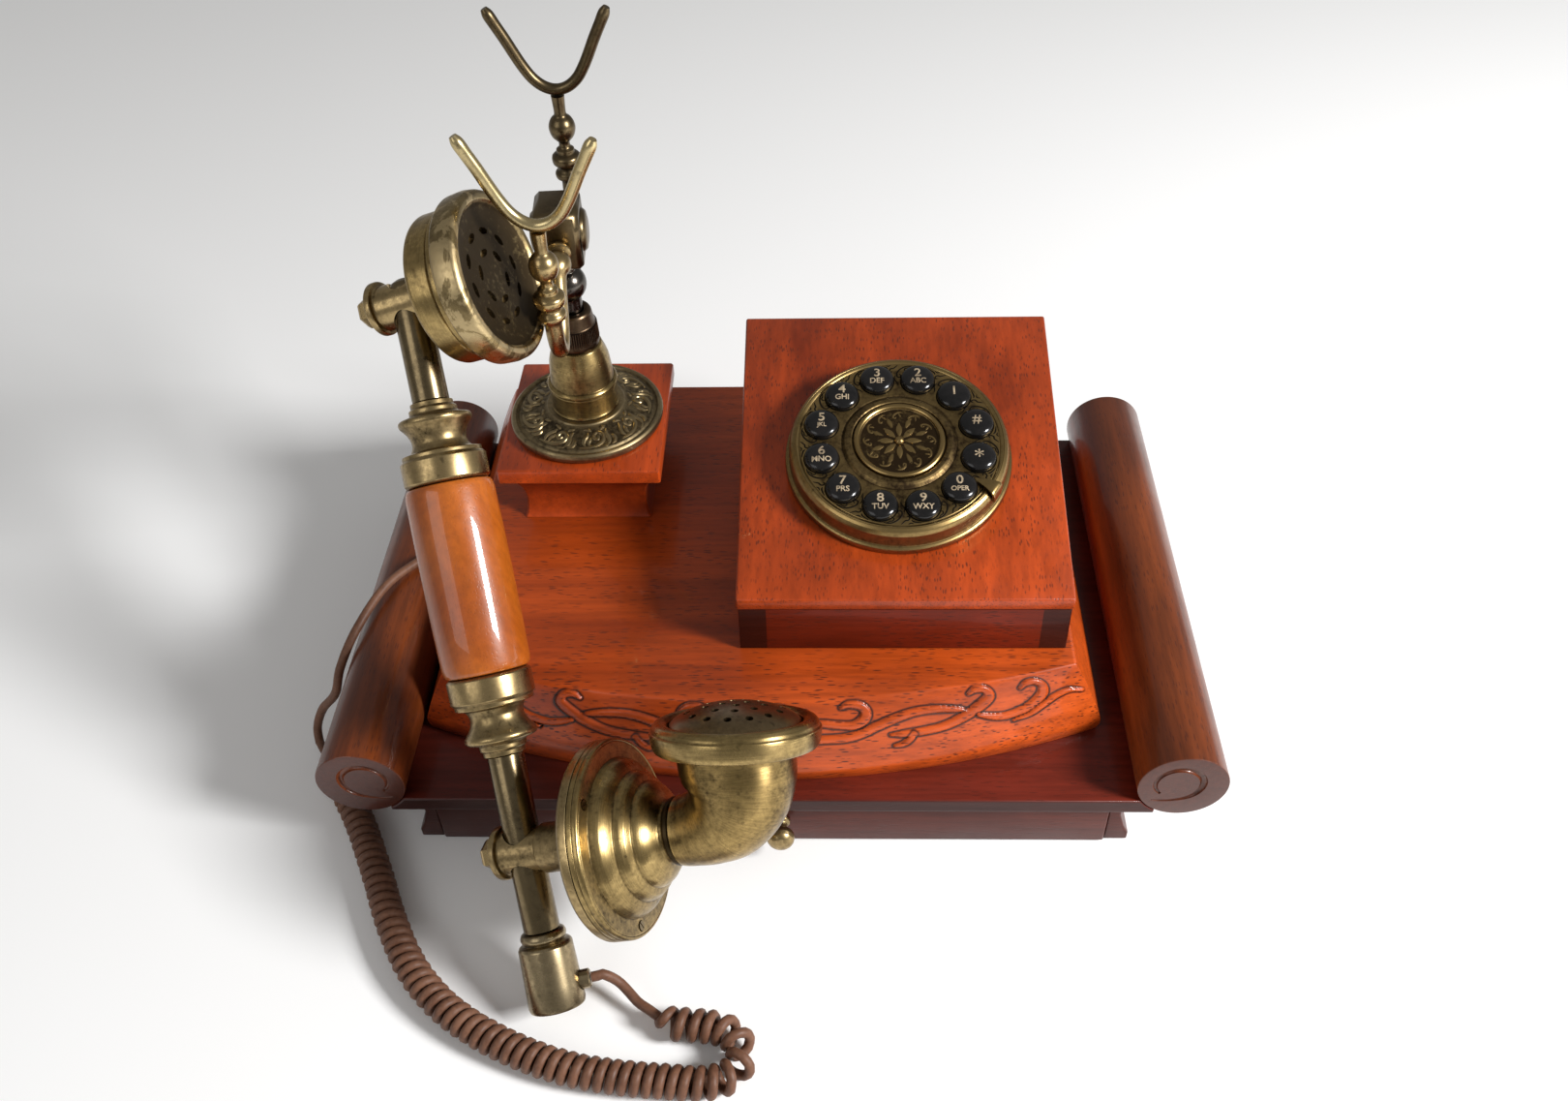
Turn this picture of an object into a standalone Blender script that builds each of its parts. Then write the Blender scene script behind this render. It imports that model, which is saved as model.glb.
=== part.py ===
"""A wooden desk telephone in an old French style: scroll base with a drawer, sloped key
pad box, brass column with a two-fork cradle, and a brass handset stood in front of it."""
import math

import bmesh
import bpy
from mathutils import Matrix, Vector

# Fits shared by the whole object
gap = 0.0003
tiny = 0.0000005
wide_round = 32
mid_round = 24
slim_round = 18
fine_round = 14
edge_round = 0.0008

# Scroll base: a board between two rolls that run front to back
roll_radius = 0.016
deck_to_roll = 0.0173
board_bottom = 0.0245
board_thickness = 0.007
base_half_depth = 0.101
roll_eye_shift = (0.0023, 0.0014)
roll_groove_width = 0.0014
roll_groove_steps = [(225, 0.475, 0.45), (202, 0.480, 0.55), (180, 0.487, 0.62), (157, 0.490, 0.68),
                     (135, 0.494, 0.74), (112, 0.502, 0.82), (90, 0.512, 0.90), (67, 0.530, 0.96),
                     (45, 0.545, 1.00), (22, 0.560, 1.00), (0, 0.562, 1.00), (-22, 0.556, 0.92),
                     (-45, 0.550, 0.80), (-68, 0.545, 0.60), (-90, 0.560, 0.46), (-105, 0.605, 0.40),
                     (-120, 0.675, 0.36), (-132, 0.760, 0.32)]

# Plinth under the board, with the drawer in its front
plinth_inset = 0.0133
plinth_end_thickness = 0.0085
plinth_flare = 0.004
plinth_steps = [(0.0, 0.0), (0.16, 0.0), (0.34, 0.55), (0.62, 1.0), (1.0, 1.0)]
plinth_front_inset = 0.0058
plinth_back_inset = 0.0045
floor_board_thickness = 0.003
rail_thickness = 0.009
drawer_front_thickness = 0.008
drawer_proud = 0.0012
drawer_back_room = 0.0256
drawer_wall = 0.003
drawer_side_gap = 0.0018
drawer_top_gap = 0.0026
knob_radius = 0.0052
knob_length = 0.0115
knob_height = 0.0130
knob_x = 0.0040

# Deck: bow-fronted block with flared sides
deck_top = 0.0639
deck_half_width = 0.1145
deck_centre_x = -0.0035
deck_back_y = 0.1000
deck_corner_y = -0.0640
deck_bow_y = -0.0815
deck_flare = 0.0115
deck_corner_share = 0.35
deck_steps = [(0.00, 0.92), (0.10, 1.00), (0.20, 1.00), (0.30, 0.90), (0.55, 0.62),
              (0.80, 0.30), (0.93, 0.09), (1.00, 0.00)]
deck_bow_points = 16

# Dial box on the deck
box_side_inset = 0.0022
box_width = 0.120
box_front_y = -0.0575
box_back_y = 0.0715
box_front_z = 0.0903
box_back_z = 0.1208
lid_thickness = 0.0052
box_wall = 0.008
box_inset = 0.0006

# Dial, square to the sloped lid
dial_radius = 0.0407
dial_flange_radius = 0.0423
dial_height = 0.0108
dial_flange_thickness = 0.0024
dial_wall = 0.0022
dial_share_up_lid = 0.462
dial_centre_shift = -0.0007
dial_hole_radius = 0.0360
ring_outer_radius = 0.0209
ring_inner_radius = 0.0174
ring_height = 0.0013
medallion_radius = 0.0170
medallion_height = 0.0016
key_circle_radius = 0.0297
key_radius = 0.0064
key_rise = 0.0034
key_depth = 0.0046
key_names = ["star", "hash", "1", "2", "3", "4", "5", "6", "7", "8", "9", "0"]
key_first_angle = -15.0
key_board_thickness = 0.0016
key_board_drop = 0.0072
stop_angle = -33.0
stop_inner_radius = 0.0335
stop_outer_radius = 0.0396
stop_width = 0.0052
stop_height = 0.0020

# Pedestal for the column
pedestal_centre_inset = 0.0427
pedestal_centre_y = 0.0434
pedestal_size = (0.0637, 0.0703)
pedestal_top = 0.0937
pedestal_steps = [(0.00, -0.0062), (0.08, -0.0072), (0.30, -0.0078), (0.55, -0.0062),
                  (0.75, -0.0028), (0.80, 0.0000), (0.97, 0.0000), (1.00, -0.0008)]

# Brass column and flange
column_shift = 0.0001
column_y = 0.0425
flange_radius = 0.0306
flange_height = 0.0078
foot_radius = 0.0138
foot_height = 0.0285
collar_radius = 0.0092
collar_height = 0.0150
collar_bore_radius = 0.0047
collar_ribs = 30

# Cradle that rides on the plunger
plunger_depth = 0.0150
cradle_ball_radius = 0.0071
cradle_ball_z = 0.1572
cradle_turn = 4.1
cradle_travel = 0.0018
block_size = (0.0165, 0.0200, 0.0235)
block_centre_z = 0.1795
block_cap_radius = 0.0078
block_cap_thickness = 0.0022
arm_reach = 0.0478
arm_height = 0.0480
arm_dip_z = 0.1545
arm_share_steps = [(0.002, 0.475, 0.80), (0.021, 0.475, 0.92), (0.054, 0.475, 0.92), (0.072, 0.475, 0.62),
                   (0.101, 0.475, 0.62), (0.131, 0.472, 0.88), (0.178, 0.468, 1.00), (0.235, 0.458, 1.00),
                   (0.280, 0.440, 0.86), (0.312, 0.415, 0.66), (0.375, 0.345, 0.62), (0.452, 0.260, 0.60),
                   (0.528, 0.165, 0.60), (0.618, 0.085, 0.60), (0.720, 0.035, 0.60), (0.822, 0.045, 0.60),
                   (0.911, 0.110, 0.61), (0.968, 0.200, 0.62), (0.994, 0.300, 0.63), (1.000, 0.400, 0.64)]
arm_ball_radius = 0.0049
post_share_steps = [(0.000, 0.64), (0.035, 0.98), (0.090, 1.02), (0.130, 0.78), (0.170, 0.78), (0.210, 1.10),
              (0.290, 1.10), (0.330, 0.72), (0.370, 0.70), (0.400, 0.46), (0.455, 0.44),
              (0.480, 0.56), (0.530, 0.86), (0.600, 1.02), (0.670, 1.00), (0.735, 0.78),
              (0.775, 0.50), (0.840, 0.46), (1.000, 0.52)]
post_height = 0.0343
fork_spread = 0.0440
fork_turns = {-1: -4.0, 1: 0.0}
fork_height = 0.0305
fork_wire_radius = 0.00215
fork_share_steps = [(-1.00, 1.00), (-0.95, 0.93), (-0.86, 0.80), (-0.74, 0.63), (-0.63, 0.46), (-0.52, 0.30),
              (-0.39, 0.15), (-0.24, 0.05), (-0.08, 0.00), (0.08, 0.00), (0.24, 0.05), (0.39, 0.15),
              (0.52, 0.30), (0.63, 0.46), (0.74, 0.63), (0.86, 0.80), (0.95, 0.93), (1.00, 1.00)]

# Handset: its foot stands on the table and its ear cap leans on the front arm
handset_heading = 106.6213
lean_height = 0.1824
lean_reach = 0.0471
lean_forward = 0.0007
foot_lift = 0.0066
handset_turn = 30.0
tube_radius = 0.0062
socket_radius = 0.0098
socket_length = 0.0265
lower_cross = 0.0543
upper_tube_reach = 0.0345
ferrule_radius = 0.0144
ferrule_length = 0.0279
lower_ferrule_start = 0.0880
grip_radius = 0.0150
grip_length = 0.0648
tube_top_over = 0.0068
sleeve_radius = 0.0074
lower_sleeve_back = 0.0095
upper_sleeve_back = 0.0125
lower_sleeve_front = 0.0080
upper_sleeve_front = 0.0120
sleeve_washer = 0.0024
nut_radius = 0.0054
nut_length = 0.0070
cup_radius = 0.0264
cup_length = 0.0148
ear_radius = 0.0286
ear_length = 0.0092
mike_radius = 0.0330
mike_back_length = 0.0267
mike_front_length = 0.0240
horn_start_radius = 0.0114
horn_reach = 0.0245
horn_rise = 0.0245
horn_tilt = 10.0
horn_end_radius = 0.0198
horn_neck_share = 0.14
horn_share_steps = [(0.00, 0.00, 0.00), (0.16, 0.00, 0.06), (0.42, 0.04, 0.22), (0.68, 0.15, 0.46),
              (0.87, 0.37, 0.70), (0.95, 0.62, 0.88)]
rim_radius = 0.0276
rim_length = 0.0078
rim_floor = 0.72
dome_radius = 0.0246
dome_height = 0.0062
bush_radius = 0.0033
bush_length = 0.0072
bush_height = 0.0072
bush_turn = 22.0
bush_sink = 0.0042

# Line socket in the back and cord bush in the left side of the deck
jack_size = (0.0125, 0.0110, 0.0100)
jack_mouth = (0.0082, 0.0080, 0.0060)
jack_x = -0.0500
jack_z = 0.0470
deck_bush_y = 0.0030
deck_bush_z = 0.0520
deck_bush_radius = 0.0040
deck_bush_length = 0.0120
bush_proud_share = 0.2

# Curly cord between the handset and the deck
wire_radius = 0.00175
curl_radius = 0.0041
curl_pitch = 0.0042
loose_pitch = 0.0070
loose_length = 0.0240
curl_gap = 0.00075
curl_points = 8
route_step = 0.001
tail_step = 0.0026
first_tail = [(-0.0500, -0.1605, 0.0090)]
coil_route = [(-0.0400, -0.1685, 0.0061), (-0.0320, -0.1735, 0.0061), (-0.0220, -0.1745, 0.0061),
              (-0.0125, -0.1765, 0.0061), (-0.0070, -0.1835, 0.0061), (-0.0105, -0.1915, 0.0061),
              (-0.0195, -0.1945, 0.0061), (-0.0310, -0.1940, 0.0061), (-0.0450, -0.1930, 0.0061),
              (-0.0620, -0.1905, 0.0061), (-0.0785, -0.1855, 0.0061), (-0.0960, -0.1775, 0.0061),
              (-0.1110, -0.1675, 0.0061), (-0.1240, -0.1540, 0.0061), (-0.1352, -0.1360, 0.0061),
              (-0.1452, -0.1155, 0.0061), (-0.1565, -0.0940, 0.0061), (-0.1690, -0.0745, 0.0061),
              (-0.1800, -0.0585, 0.0061)]
last_tail = [(-0.1830, -0.0510, 0.0110), (-0.1780, -0.0510, 0.0220), (-0.1690, -0.0540, 0.0350),
             (-0.1655, -0.0500, 0.0455), (-0.1600, -0.0390, 0.0545), (-0.1520, -0.0210, 0.0595),
             (-0.1430, -0.0080, 0.0595), (-0.1365, 0.0000, 0.0570)]

# Colours of the materials
colours = {
    "wood": (0.20, 0.045, 0.020, 1.0), "grip wood": (0.42, 0.13, 0.03, 1.0),
    "brass": (0.46, 0.34, 0.16, 1.0), "dark brass": (0.20, 0.15, 0.09, 1.0),
    "steel": (0.10, 0.10, 0.12, 1.0), "black": (0.012, 0.012, 0.014, 1.0),
    "cord": (0.05, 0.025, 0.015, 1.0), "board": (0.03, 0.10, 0.04, 1.0)}
metals = ("brass", "dark brass", "steel")

# Sizes that follow from the ones above
roll_centre_x = deck_half_width + deck_flare - deck_centre_x + deck_to_roll
box_centre_x = deck_centre_x + deck_half_width - box_side_inset - box_width / 2
pedestal_centre_x = deck_centre_x - deck_half_width + pedestal_centre_inset
column_x = pedestal_centre_x + column_shift
upper_cross = lower_ferrule_start + 2 * ferrule_length + grip_length + 3 * gap + upper_tube_reach
plinth_half_width = roll_centre_x - plinth_inset
plinth_front_y = plinth_front_inset - base_half_depth
plinth_back_y = base_half_depth - plinth_back_inset
drawer_start_y = plinth_front_y - drawer_proud + drawer_front_thickness + gap
drawer_depth = plinth_back_y - rail_thickness - drawer_back_room - drawer_start_y
board_top = board_bottom + board_thickness
roll_centre_z = board_bottom + roll_radius
box_depth = box_back_y - box_front_y
lid_slope = math.atan2(box_back_z - box_front_z, box_depth)
deck_seat = board_top + gap
shell_seat = deck_top + gap


def clear_scene():
    for item in list(bpy.data.objects):
        bpy.data.objects.remove(item)
    part = bpy.data.collections.new("desk_telephone")
    cutters = bpy.data.collections.new("cutters")
    bpy.context.scene.collection.children.link(part)
    bpy.context.scene.collection.children.link(cutters)
    return part, cutters


part_items, cutter_items = clear_scene()


def material_for(name, kind):
    made = bpy.data.materials.new(name + "_material")
    made.use_nodes = True
    shader = made.node_tree.nodes["Principled BSDF"]
    shader.inputs["Base Color"].default_value = colours[kind]
    shader.inputs["Metallic"].default_value = 1.0 if kind in metals else 0.0
    shader.inputs["Roughness"].default_value = 0.35
    return made


def keep(name, mesh, kind, place=None, smooth=True):
    item = bpy.data.objects.new(name, mesh)
    part_items.objects.link(item)
    item.data.materials.clear()
    item.data.materials.append(material_for(name, kind))
    if place is not None:
        item.matrix_world = place
    if smooth:
        for face in mesh.polygons:
            face.use_smooth = True
    return item


def as_cutter(item):
    part_items.objects.unlink(item)
    cutter_items.objects.link(item)
    item.hide_render = True
    item.display_type = 'WIRE'
    return item


def combine(item, other, way='DIFFERENCE'):
    change = item.modifiers.new("cut", 'BOOLEAN')
    change.operation = way
    change.solver = 'EXACT'
    change.object = as_cutter(other)
    return item


def soften(item, width=edge_round, segments=1, angle=35.0):
    change = item.modifiers.new("soft", 'BEVEL')
    change.width = width
    change.segments = segments
    change.limit_method = 'ANGLE'
    change.angle_limit = math.radians(angle)
    return item


def placed(centre, up=(0, 0, 1), side=None):
    """A place with its Z along `up` and its X as near as can be to `side`."""
    rise = Vector(up).normalized()
    lead = Vector(side) if side is not None else Vector((1, 0, 0))
    if side is None and abs(rise.x) > 0.9:
        lead = Vector((0, 1, 0))
    across = (lead - rise * lead.dot(rise)).normalized()
    third = rise.cross(across)
    spin = Matrix((across, third, rise)).transposed().to_4x4()
    return Matrix.Translation(Vector(centre)) @ spin


def turned(name, shares, radius, length, kind, place=None, steps=mid_round, closed=False):
    """A turned solid; `shares` run down its outer side as parts of its radius and length."""
    mesh = bpy.data.meshes.new(name)
    rows = [(radius * r, 0.0, length * h) for r, h in shares]
    edges = [(i, i + 1) for i in range(len(rows) - 1)]
    if closed:
        edges.append((len(rows) - 1, 0))
    mesh.from_pydata(rows, edges, [])
    item = keep(name, mesh, kind, place)
    turn = item.modifiers.new("turn", 'SCREW')
    turn.steps = steps
    turn.render_steps = steps
    turn.use_merge_vertices = True
    turn.merge_threshold = 0.00001
    turn.use_smooth_shade = True
    return item


def prism(name, outline, start, end, kind, axis="y"):
    """A flat outline drawn square to one axis and pulled out along it."""
    shape = bmesh.new()
    turns = {"x": lambda a, b, c: (c, a, b), "y": lambda a, b, c: (a, c, b), "z": lambda a, b, c: (a, b, c)}
    turn = turns[axis]
    first = [shape.verts.new(turn(a, b, start)) for a, b in outline]
    last = [shape.verts.new(turn(a, b, end)) for a, b in outline]
    shape.faces.new(first)
    shape.faces.new(last)
    count = len(outline)
    for i in range(count):
        j = (i + 1) % count
        shape.faces.new((first[i], first[j], last[j], last[i]))
    bmesh.ops.recalc_face_normals(shape, faces=shape.faces)
    mesh = bpy.data.meshes.new(name)
    shape.to_mesh(mesh)
    shape.free()
    return keep(name, mesh, kind, smooth=False)


def brick(name, low, high, kind):
    outline = [(low[0], low[1]), (high[0], low[1]), (high[0], high[1]), (low[0], high[1])]
    return prism(name, outline, low[2], high[2], kind, axis="z")


def stacked(name, rings, kind):
    """A solid through closed rings of equal count, lowest first."""
    shape = bmesh.new()
    levels = [[shape.verts.new(point) for point in ring] for ring in rings]
    shape.faces.new(levels[0])
    shape.faces.new(levels[-1])
    count = len(levels[0])
    for low, high in zip(levels, levels[1:]):
        for i in range(count):
            j = (i + 1) % count
            shape.faces.new((low[i], low[j], high[j], high[i]))
    bmesh.ops.recalc_face_normals(shape, faces=shape.faces)
    mesh = bpy.data.meshes.new(name)
    shape.to_mesh(mesh)
    shape.free()
    return keep(name, mesh, kind, smooth=False)


def tube(name, points, radius, kind, radii=None, roundness=2):
    line = bpy.data.curves.new(name, 'CURVE')
    line.dimensions = '3D'
    line.bevel_depth = radius
    line.bevel_resolution = roundness
    line.use_fill_caps = True
    run = line.splines.new('POLY')
    run.points.add(len(points) - 1)
    for i, point in enumerate(points):
        run.points[i].co = (point[0], point[1], point[2], 1.0)
        run.points[i].radius = radii[i] if radii else 1.0
    holder = bpy.data.objects.new(name + "_line", line)
    cutter_items.objects.link(holder)
    bpy.context.view_layer.update()
    mesh = bpy.data.meshes.new_from_object(holder.evaluated_get(bpy.context.evaluated_depsgraph_get()))
    bpy.data.objects.remove(holder)
    shape = bmesh.new()
    shape.from_mesh(mesh)
    bmesh.ops.remove_doubles(shape, verts=shape.verts, dist=tiny)
    bmesh.ops.recalc_face_normals(shape, faces=shape.faces)
    shape.to_mesh(mesh)
    shape.free()
    mesh.name = name
    return keep(name, mesh, kind)


def cylinder(name, centre, up, radius, length, kind="steel", steps=mid_round):
    """A plain cylinder that starts at `centre` and runs along `up`."""
    return turned(name, [(0, 1), (1, 1), (1, 0), (0, 0)], radius, length, kind, placed(centre, up), steps)


# Scroll base

def groove_line(side, y):
    """The scroll line on a roll's end, from its eye outward, with its width at each point."""
    points = []
    widths = []
    for degrees, reach, width in roll_groove_steps:
        angle = math.radians(degrees)
        across = roll_radius * reach * math.cos(angle) - roll_eye_shift[0]
        rise = roll_radius * reach * math.sin(angle) + roll_eye_shift[1]
        points.append((side * (roll_centre_x + across), y, roll_centre_z + rise))
        widths.append(width)
    return points, widths


def make_roll(side):
    name = "scroll_roll_left" if side < 0 else "scroll_roll_right"
    ring = 1 - edge_round / roll_radius
    end = edge_round / (2 * base_half_depth)
    shares = [(0, 1), (ring, 1), (1, 1 - end), (1, end), (ring, 0), (0, 0)]
    place = placed((side * roll_centre_x, base_half_depth, roll_centre_z), (0, -1, 0))
    roll = turned(name, shares, roll_radius, 2 * base_half_depth, "wood", place, mid_round)
    for y in (-base_half_depth, base_half_depth):
        points, widths = groove_line(side, y)
        groove = tube(name + "_groove", points, roll_groove_width, "wood", widths, roundness=0)
        combine(roll, groove)
    return roll


def make_base_board():
    reach = roll_radius + gap
    lip = roll_centre_x - roll_radius * 0.50
    outline = [(-lip, board_bottom), (lip, board_bottom)]
    start = math.acos((roll_centre_x - lip) / reach)
    stop = math.asin((roll_centre_z - board_top) / reach)
    arc = []
    count = 7
    for i in range(count):
        angle = start + (stop - start) * i / (count - 1)
        arc.append((roll_centre_x - reach * math.cos(angle), roll_centre_z - reach * math.sin(angle)))
    outline += arc
    outline += [(-x, z) for x, z in reversed(arc)]
    board = prism("base_board", outline, -base_half_depth, base_half_depth, "wood")
    return soften(board, edge_round * 0.6, 1, 60)


# Plinth and drawer

def make_plinth():
    top = board_bottom - gap
    for side, name in ((-1, "plinth_end_left"), (1, "plinth_end_right")):
        inner = plinth_half_width - plinth_end_thickness
        outline = [(side * inner, 0), (side * inner, top)]
        for share, flare in reversed(plinth_steps):
            outline.append((side * (plinth_half_width - plinth_flare * flare), top * share))
        prism(name, outline, plinth_front_y, plinth_back_y, "wood")
    inner = plinth_half_width - plinth_end_thickness - gap
    brick("plinth_back_rail", (-inner, plinth_back_y - rail_thickness, 0), (inner, plinth_back_y, top),
          "wood")
    back = plinth_back_y - rail_thickness - gap
    front = plinth_front_y + drawer_front_thickness + gap
    brick("floor_board", (-inner, front, 0), (inner, back, floor_board_thickness), "wood")


def make_drawer():
    front_y = plinth_front_y - drawer_proud
    back_y = front_y + drawer_front_thickness
    inner = plinth_half_width - plinth_end_thickness - gap
    low = gap
    high = board_bottom - 2 * gap
    front = brick("drawer_front", (-inner, front_y, low), (inner, back_y, high), "wood")
    soften(front, edge_round, 2)
    side = inner - drawer_side_gap
    bottom = floor_board_thickness + gap
    top = high - drawer_top_gap
    start = back_y + gap
    tray = brick("drawer_tray", (-side, start, bottom), (side, start + drawer_depth, top), "wood")
    hollow = brick("drawer_hollow", (-side + drawer_wall, start + drawer_wall, bottom + drawer_wall),
                   (side - drawer_wall, start + drawer_depth - drawer_wall, top + drawer_wall), "wood")
    combine(tray, hollow)
    shares = [(0, 1), (0.45, 0.99), (0.80, 0.92), (0.98, 0.76), (1.0, 0.62), (0.84, 0.46), (0.46, 0.36),
              (0.42, 0.20), (0.62, 0.10), (0.66, 0), (0, 0)]
    place = placed((knob_x, front_y - gap, knob_height), (0, -1, 0))
    turned("drawer_knob", shares, knob_radius, knob_length, "brass", place, fine_round)


# Deck

def deck_outline(spread):
    """The deck seen from above, grown outward by `spread` except at its back."""
    wide = deck_half_width + spread
    corner = deck_corner_y - spread * deck_corner_share
    bow = deck_bow_y - spread
    points = [(deck_centre_x + wide, deck_back_y), (deck_centre_x - wide, deck_back_y)]
    for i in range(deck_bow_points + 1):
        share = -1 + 2 * i / deck_bow_points
        points.append((deck_centre_x + wide * share, bow + (corner - bow) * share * share))
    return points


def make_deck():
    rings = []
    for share, spread in deck_steps:
        z = deck_seat + (deck_top - deck_seat) * share
        rings.append([(x, y, z) for x, y in deck_outline(deck_flare * spread)])
    deck = stacked("deck", rings, "wood")
    wide, tall = jack_size[0] / 2 + gap, jack_size[2] / 2 + gap
    pocket = brick("jack_pocket", (jack_x - wide, deck_back_y - jack_size[1], jack_z - tall),
                   (jack_x + wide, deck_back_y + gap, jack_z + tall), "wood")
    combine(deck, pocket)
    start = deck_bush_face() + deck_bush_length + gap
    hole = cylinder("bush_hole", (start, deck_bush_y, deck_bush_z), (-1, 0, 0), deck_bush_radius + gap,
                    deck_bush_length * 2, steps=fine_round)
    combine(deck, hole)
    return deck


def deck_bush_face():
    """Where the outer end of the cord bush lies."""
    share = (deck_bush_z - deck_seat) / (deck_top - deck_seat)
    spread = 0.0
    for (low, wide), (high, narrow) in zip(deck_steps, deck_steps[1:]):
        if low <= share <= high:
            spread = wide + (narrow - wide) * (share - low) / (high - low)
    return deck_centre_x - deck_half_width - deck_flare * spread - deck_bush_length * bush_proud_share


def make_deck_fittings():
    face = deck_back_y - jack_size[1] + gap
    jack = brick("line_socket", (jack_x - jack_size[0] / 2, face, jack_z - jack_size[2] / 2),
                 (jack_x + jack_size[0] / 2, deck_back_y, jack_z + jack_size[2] / 2), "black")
    mouth = brick("socket_mouth",
                  (jack_x - jack_mouth[0] / 2, deck_back_y - jack_mouth[1], jack_z - jack_mouth[2] / 2),
                  (jack_x + jack_mouth[0] / 2, deck_back_y + gap, jack_z + jack_mouth[2] / 2), "black")
    combine(jack, mouth)
    shares = [(0, 1), (0.80, 1), (0.88, 0.96), (0.88, 0), (0, 0)]
    place = placed((deck_bush_face() + deck_bush_length, deck_bush_y, deck_bush_z), (-1, 0, 0))
    turned("deck_cord_bush", shares, deck_bush_radius / 0.88, deck_bush_length, "black", place, fine_round)


# Dial box

def box_side(low, rise, inset):
    """The box side seen from the right, its top held below the lid."""
    front = box_front_y + inset
    back = box_back_y - inset
    slope = math.tan(lid_slope)
    return [(front, low), (back, low), (back, box_back_z - rise - inset * slope),
            (front, box_front_z - rise + inset * slope)]


def make_box():
    half = box_width / 2
    walls = prism("dial_box_walls", box_side(shell_seat, lid_thickness + gap, box_inset),
                  box_centre_x - half + box_inset, box_centre_x + half - box_inset, "wood", axis="x")
    hollow = prism("box_hollow", box_side(shell_seat - box_wall, -box_wall, box_wall),
                   box_centre_x - half + box_wall, box_centre_x + half - box_wall, "wood", axis="x")
    combine(walls, hollow)
    outline = [(box_front_y, box_front_z - lid_thickness), (box_back_y, box_back_z - lid_thickness),
               (box_back_y, box_back_z), (box_front_y, box_front_z)]
    lid = prism("dial_box_lid", outline, box_centre_x - half, box_centre_x + half, "wood", axis="x")
    soften(lid, edge_round, 2)
    centre = dial_place() @ Vector((0, 0, -lid_thickness * 3))
    hole = cylinder("dial_hole", centre, dial_way(), dial_hole_radius, lid_thickness * 6, steps=wide_round)
    combine(lid, hole)


# Dial

def dial_way():
    return (0, -math.sin(lid_slope), math.cos(lid_slope))


def dial_place():
    y = box_front_y + box_depth * dial_share_up_lid
    z = box_front_z + (box_back_z - box_front_z) * dial_share_up_lid
    seat = Vector((box_centre_x + dial_centre_shift, y, z)) + Vector(dial_way()) * gap
    return placed(seat, dial_way(), (1, 0, 0))


def on_dial(radius, degrees, height):
    angle = math.radians(degrees)
    return dial_place() @ Vector((radius * math.cos(angle), radius * math.sin(angle), height))


def make_dial():
    plate = dial_height - dial_wall
    inner = dial_radius - dial_wall
    rows = [(ring_outer_radius, dial_height), (inner - dial_wall, dial_height),
            (inner - dial_wall * 0.4, dial_height + dial_wall * 0.25), (inner + dial_wall * 0.3, dial_height),
            (dial_radius, plate), (dial_radius, dial_flange_thickness * 1.3),
            (dial_flange_radius, dial_flange_thickness), (dial_flange_radius, 0), (inner, 0), (inner, plate),
            (ring_inner_radius * 0.5, plate), (ring_inner_radius * 0.5, dial_height),
            (ring_inner_radius, dial_height),
            (ring_inner_radius + ring_height * 0.4, dial_height + ring_height),
            (ring_outer_radius - ring_height * 0.5, dial_height + ring_height)]
    shares = [(r / dial_radius, h / dial_height) for r, h in rows]
    dial = turned("dial_housing", shares, dial_radius, dial_height, "brass", dial_place(), wide_round,
                  closed=True)
    for i in range(len(key_names)):
        centre = on_dial(key_circle_radius, key_first_angle + 30.0 * i, plate - dial_wall)
        hole = cylinder("key_hole", centre, dial_way(), key_radius + gap, dial_wall * 3, steps=fine_round)
        combine(dial, hole)
    top = [(0, 1), (0.35, 0.99), (0.75, 0.88), (0.96, 0.62), (1.0, 0.52), (1.0, 0.0), (0, 0)]
    turned("dial_medallion", top, medallion_radius, medallion_height, "brass",
           placed(on_dial(0, 0, dial_height + gap), dial_way(), (1, 0, 0)), mid_round)
    board = [(0, 1), (1, 1), (1, 0), (0, 0)]
    turned("key_board", board, inner - gap, key_board_thickness, "board",
           placed(on_dial(0, 0, dial_height - dial_wall - key_board_drop), dial_way(), (1, 0, 0)), mid_round)


def make_keys():
    dome = [(0, 1.0), (0.60, 0.95), (0.90, 0.84), (1.0, 0.70), (1.0, 0.0), (0, 0)]
    for i, name in enumerate(key_names):
        centre = on_dial(key_circle_radius, key_first_angle + 30.0 * i, dial_height - key_depth)
        turned("key_" + name, dome, key_radius, key_rise + key_depth, "black",
               placed(centre, dial_way(), (1, 0, 0)), fine_round)


def make_stop():
    """The small pointer beside the last key."""
    half = stop_width / 2
    low = dial_height + dial_wall * 0.25 + gap
    shape = [(stop_inner_radius, 0), (stop_outer_radius, -half), (stop_outer_radius, half)]
    spin = dial_place() @ Matrix.Rotation(math.radians(stop_angle), 4, 'Z')
    stop = prism("dial_pointer", shape, low, low + stop_height, "brass", axis="z")
    stop.matrix_world = spin


# Pedestal, flange and column

def make_pedestal():
    rings = []
    low = shell_seat
    for share, spread in pedestal_steps:
        x = pedestal_size[0] / 2 + spread
        y = pedestal_size[1] / 2 + spread
        z = low + (pedestal_top - low) * share
        cx, cy = pedestal_centre_x, pedestal_centre_y
        rings.append([(cx - x, cy - y, z), (cx + x, cy - y, z), (cx + x, cy + y, z), (cx - x, cy + y, z)])
    stacked("pedestal", rings, "wood")


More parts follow.
